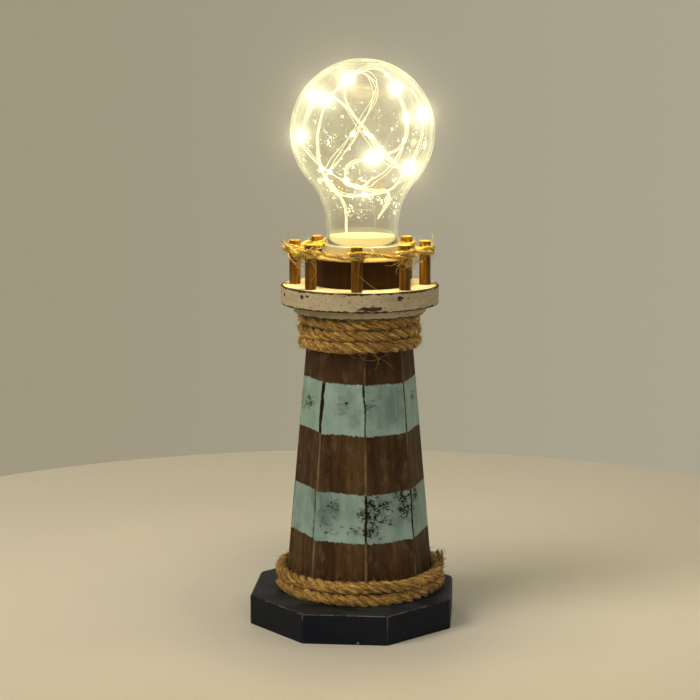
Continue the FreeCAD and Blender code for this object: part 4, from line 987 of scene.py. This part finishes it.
def clearGlass(look):
    finish, shader, place = newFinish("clearGlass", {
        "Base Color": rgba(look["tint"]), "Roughness": 0.0, "IOR": look["index"], "Transmission Weight": 1.0,
        "Emission Color": rgba(look["paintedGlowTint"])})
    height, reach = roundTheAxis(place, lanternAxis)[:2]

    def climb(low, high, start=0.0, end=1.0):  # a fade between heights in millimetres above the foot
        return fade(height, bulbFoot + low * mm, bulbFoot + high * mm, start, end)

    # painted light: the glass glows for the string's light scattered and reflected in it, gathering at the rim
    # and in the upper globe, in clouds
    rim = times(worked("POWER", facing(finish.node_tree, 0.5), 4.0), look["paintedRimGlow"])
    clouds = times(fade(grain(place, 45.0, 2.0), 0.3, 0.7, 0.6, 1.4),
                   fade(grain(place, 170.0, 3.0), 0.35, 0.65, 0.7, 1.3))
    glow = times(plus(rim, look["paintedGlow"]), times(climb(6, 38, 0.35, 1.0), clouds))
    # small glints stand in for the reflections in the lower globe
    flecks = plus(grain(place, 760.0, 2.0), times(grain(place, 130.0, 1.0), 0.5))
    flecks = less(flecks, climb(20, 36, 0.0, 0.035))
    glints = times(fade(flecks, 0.95, 1.0), times(climb(9, 14), climb(62, 45)))
    feed(shader, "Emission Strength", plus(glow, times(glints, look["glint"])))
    tip = times(fade(height, bulbTop - 4 * mm, bulbTop - 2 * mm),
                times(fade(reach, 8.6 * mm, 9.4 * mm), fade(reach, 10.6 * mm, 9.8 * mm)))
    joinBump(shader, plus(grain(place, 55.0, 1.0), tip), 0.3 * mm, 0.3)
    return finish


def makeBulb():
    profile = bulbProfile(0.0) + bulbProfile(bulbLook["wall"])[::-1]
    vertices, faces = lathe(profile + [profile[0]], lanternAxis, bulbLook["steps"])
    bulb = newPiece("bulbBlown", vertices, faces, clearGlass(bulbLook), "bulb_unit")
    bulb.visible_shadow = False  # the light inside reaches the gallery
    bulb.visible_diffuse = False
    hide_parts("bulb_envelope")


makeBulb()


# route of the light string from the globe's middle, in hundredths of its inner radius
stringRoute = (
    (-23, -2, -130), (-23, -6, -106), (-31, -31, -84), (-55, -61, -50), (-57, -75, 3), (-45, -71, 46),
    (-17, -57, 75), (14, -19, 93), (34, 29, 84), (53, 63, 47), (61, 72, -16), (33, 64, -63),
    (-11, 41, -84), (-54, 46, -62), (-84, 25, -28), (-88, -29, -10), (-66, -38, 58), (-28, -73, 44),
    (12, -95, 2), (46, -72, -43), (72, -35, -46), (67, 22, -65), (38, 63, -46), (5, 89, -10),
    (-31, 82, 34), (-29, 40, 78), (3, -12, 88), (31, -64, 60), (-7, -89, 0), (-36, -73, -40),
    (-54, -30, -64), (-29, -12, -88), (4, -26, -88), (44, -18, -80), (64, 21, -55), (83, 39, -20),
    (88, 17, 26), (71, -6, 62), (41, -50, 68), (69, -61, 22), (61, -61, -22), (20, -78, -33),
    (-15, -82, -40), (-21, -64, -66), (10, -49, -80), (40, -27, -80), (35, -5, -102), (22, 4, -124),
)

stringLook = {
    "wire": 0.13 * mm, "wireSides": 5, "shift": 6.8 * mm, "arc": 0.45, "arcSteps": 12,
    "kink": 0.22 * mm, "clear": 0.3 * mm, "near": 0.12, "pinch": 6 * mm,
    "strands": ({"near": 0.20, "wander": 0.75, "twist": 81.0}, {"near": 0.25, "wander": 1.15, "twist": 93.0},
                {"near": 0.15, "wander": 0.95, "twist": 72.0}, {"near": 0.30, "wander": 1.3, "twist": 107.0}),
    # how far the strands part at some corners of the route
    "tight": 0.5,
    "parted": {16: 0.8, 17: 1.5, 18: 1.8, 19: 1.5, 20: 0.8, 26: 0.8, 27: 1.5, 28: 1.8, 29: 1.5, 30: 0.8},
    "dropRadius": 0.95 * mm, "dropReach": 1.6 * mm, "dropSides": 14, "bright": 14, "brightSize": 1.25,
    # corners of the route that carry a light, with its brightness
    "lit": {3: 3.0, 5: 9, 6: 14, 8: 3, 10: 3.4, 12: 3.6, 13: 3.2, 15: 18, 16: 16, 18: 1.6, 20: 18, 23: 1.4,
            25: 5, 28: 1.6, 30: 3.2, 32: 4, 34: 7, 36: 18, 38: 16, 39: 7, 41: 18, 43: 4},
    "glow": (1.0, 0.84, 0.42), "sheen": (1.0, 0.90, 0.58), "sheenGlow": 0.95, "heart": (1.0, 0.93, 0.66),
    "worn": (0.80, 0.72, 0.50), "silver": (0.98, 0.95, 0.82), "resin": (1.0, 0.92, 0.70),
    "lamps": {"watts": 0.115, "radius": 5.0 * mm, "corners": (5, 15, 20, 36, 38, 41), "inwards": 0.3},
}


def stringLine():  # straight runs joined by arcs, each arc a share of its shorter run
    look = stringLook
    inner = bulbLook["globeRadius"] - bulbLook["wall"]
    middle = np.array((lanternAxis.x, lanternAxis.y, bulbTop - bulbLook["globeRadius"]))
    corners = middle + np.array(stringRoute) / 100 * inner
    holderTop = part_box("battery_holder")[1].z
    corners[0] = (lanternAxis.x - look["shift"], lanternAxis.y, holderTop - 0.5 * mm)
    corners[1] = (corners[0][0], corners[0][1], corners[1][2])
    line, tops = [corners[0]], [0]
    for before, corner, after in zip(corners, corners[1:], corners[2:]):
        into, out = corner - before, after - corner
        leg = look["arc"] * min(np.linalg.norm(into), np.linalg.norm(out))
        into, out = into / np.linalg.norm(into), out / np.linalg.norm(out)
        start, end = corner - into * leg, corner + out * leg
        weight = math.cos(math.acos(np.clip(np.dot(into, out), -1, 1)) / 2)
        line += [line[-1] + (start - line[-1]) * share for share in (0.25, 0.5, 0.75)]
        tops.append(len(line) + look["arcSteps"] // 2)
        for k in range(look["arcSteps"] + 1):
            share = k / look["arcSteps"]
            first, second, third = (1 - share) ** 2, 2 * share * (1 - share) * weight, share ** 2
            line.append((start * first + corner * second + end * third) / (first + second + third))
    line += [line[-1] + (corners[-1] - line[-1]) * share for share in (0.25, 0.5, 0.75, 1.0)]
    return np.array(line), tops


def insideGlobe(line):  # points that would pass the glass are drawn back inside it
    middle = np.array((lanternAxis.x, lanternAxis.y, bulbTop - bulbLook["globeRadius"]))
    furthest = bulbLook["globeRadius"] - bulbLook["wall"] - stringLook["clear"]
    out = line - middle
    far = np.linalg.norm(out, axis=1)
    past = (far > furthest) & (out[:, 2] > -0.8 * furthest)
    return middle + out * np.where(past, furthest / far, 1.0)[:, None]


def makeWire(line, tops):
    look = stringLook
    finish, shader, place = newFinish("silverWire", {
        "Metallic": 1.0, "Roughness": 0.28, "Emission Color": rgba(look["sheen"]),
        "Emission Strength": look["sheenGlow"]})
    feed(shader, "Base Color", layered(look["worn"], (grain(place, 900.0, 2.0), look["silver"])))
    across, rise = carriedFrames(line)[1:]
    run = runAlong(line)
    # the strands part between the lights and meet at each of them
    pinched = sorted(tops[corner] for corner, strength in look["lit"].items() if strength > 2)
    ends = np.concatenate(([0.0, run[-1]], run[pinched]))
    parting = np.interp(run, run[tops], [look["parted"].get(k, look["tight"]) for k in range(len(tops))])
    apart = np.clip(np.min(np.abs(run[:, None] - ends[None, :]), axis=1) / look["pinch"], 0.0, 1.0)
    parts = []
    for number, strand in enumerate(look["strands"]):
        turn = 2 * math.pi * run / (strand["twist"] * mm) + 2.1 * number
        swing = 0.6 + 0.4 * np.sin(run / (17 * mm) + 1.7 * number)
        reach = (look["near"] + strand["near"] * apart + strand["wander"] * apart * swing * parting) * mm
        kinks = look["kink"] * apart * np.sin(run / (2.9 * mm) + number)
        kinks *= np.sin(run / (4.7 * mm) + 2 * number)
        offset = outwards(across, rise, turn) * reach[:, None] + rise * kinks[:, None]
        parts.append(sweep(insideGlobe(line + offset), look["wire"], look["wireSides"]))
    vertices, faces = gather(parts)[:2]
    wire = newPiece("lightWire", vertices, faces, finish, "bulb_unit")
    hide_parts("led_wire")


def makeDrops(line, tops):
    look = stringLook
    finish, shader = newFinish("litResin", {
        "Base Color": rgba(look["resin"]), "Roughness": 0.15, "Emission Color": rgba(look["heart"])})[:2]
    tree = finish.node_tree
    glow = add(tree, "Attribute", attribute_name="glow").outputs["Fac"]
    feed(shader, "Emission Strength", times(glow, fade(facing(tree, 0.4), 0.0, 0.9, 1.0, 0.45)))
    finish.cycles.emission_sampling = "NONE"
    ways = carriedFrames(line)[0]
    shares = np.linspace(-1, 1, 13)
    parts, strengths = [], []
    for corner, strength in look["lit"].items():
        spot = tops[corner]
        size = look["brightSize"] if strength >= look["bright"] else 1.0
        spindle = line[spot] + shares[:, None] * ways[spot] * look["dropReach"] * size
        radii = look["dropRadius"] * size * np.maximum(1 - shares ** 2, 0.02) ** 0.8
        parts.append(sweep(spindle, radii, look["dropSides"]))
        strengths += [float(strength)] * len(parts[-1][0])
    vertices, faces = gather(parts)[:2]
    drops = newPiece("lightDrops", vertices, faces, finish, "bulb_unit")
    drops.data.attributes.new("glow", "FLOAT", "POINT").data.foreach_set("value", strengths)
    drops.visible_shadow = False
    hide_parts("led_beads")


def hangLamps(line, tops):
    lamps = stringLook["lamps"]
    for corner in lamps["corners"]:
        lamp = bpy.data.lights.new("glow%d" % corner, "POINT")
        lamp.energy = lamps["watts"]
        lamp.color = stringLook["glow"]
        lamp.shadow_soft_size = lamps["radius"]
        holder = bpy.data.objects.new("glow%d" % corner, lamp)
        spot = Vector(line[tops[corner]])
        holder.location = spot.lerp(Vector((lanternAxis.x, lanternAxis.y, spot.z)), lamps["inwards"])
        holder.visible_camera = False
        holder.visible_glossy = False
        holder.visible_transmission = False
        bpy.context.scene.collection.objects.link(holder)
        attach(holder, "bulb_unit")


line, tops = stringLine()
makeWire(line, tops)
makeDrops(line, tops)
hangLamps(line, tops)
print("bulb and light string made")


# battery holder and fastenings

worksLook = {
    "holder": (0.66, 0.58, 0.36), "switch": (0.035, 0.035, 0.036), "pitting": 1400.0,
    "cell": (0.78, 0.77, 0.74), "plate": (0.72, 0.71, 0.66), "screw": (0.60, 0.60, 0.58),
    "lit": (1.0, 0.82, 0.30), "litGlow": 0.45,  # the holder's top takes light from the string
}


def darker(colour, share):
    return tuple(v * share for v in colour)


def plainMoulding(name, colour, roughness):
    finish, shader, place = newFinish(name, {"Roughness": roughness})
    feed(shader, "Base Color", layered(darker(colour, 0.86), (grain(place, 120.0, 3.0), colour)))
    joinBump(shader, grain(place, worksLook["pitting"], 2.0), 0.03 * mm, 0.5)
    return finish


def brushedSteel(name, colour, roughness):
    finish, shader, place = newFinish(name, {"Metallic": 1.0})
    scratches = grain(place, 900.0, 3.0, (1.0, 0.12, 1.0))
    feed(shader, "Base Color", layered(darker(colour, 0.8), (scratches, colour)))
    feed(shader, "Roughness", fade(scratches, 0.3, 0.7, roughness, roughness + 0.15))
    joinBump(shader, scratches, 0.02 * mm, 0.4)
    return finish


def finishWorks():
    look = worksLook
    shell = plainMoulding("holderMoulding", look["holder"], 0.45)
    tree = shell.node_tree
    shader = tree.nodes["Principled BSDF"]
    shader.inputs["Emission Color"].default_value = rgba(look["lit"])
    height = split(add(tree, "TexCoord").outputs["Object"])[2]
    lit = fade(height, bulbFoot - 0.5 * mm, bulbFoot + 0.5 * mm, 0.0, look["litGlow"])
    feed(shader, "Emission Strength", lit)
    black = plainMoulding("switchMoulding", look["switch"], 0.4)
    can = brushedSteel("cellCan", look["cell"], 0.22)
    plate = brushedSteel("contactPlate", look["plate"], 0.3)
    screws = brushedSteel("screwZinc", look["screw"], 0.35)
    for finish, nodes in (
            (shell, ("battery_holder", "battery_cover")), (black, ("switch_body", "switch_knob")),
            (can, ("button_cell_1", "button_cell_2", "button_cell_3")),
            (plate, ("lower_contact", "upper_contact")),
            (screws, ("plinth_screw_1", "plinth_screw_2", "cover_screw"))):
        for node in nodes:
            dress(node, finish)


finishWorks()
print("battery holder and fastenings finished")
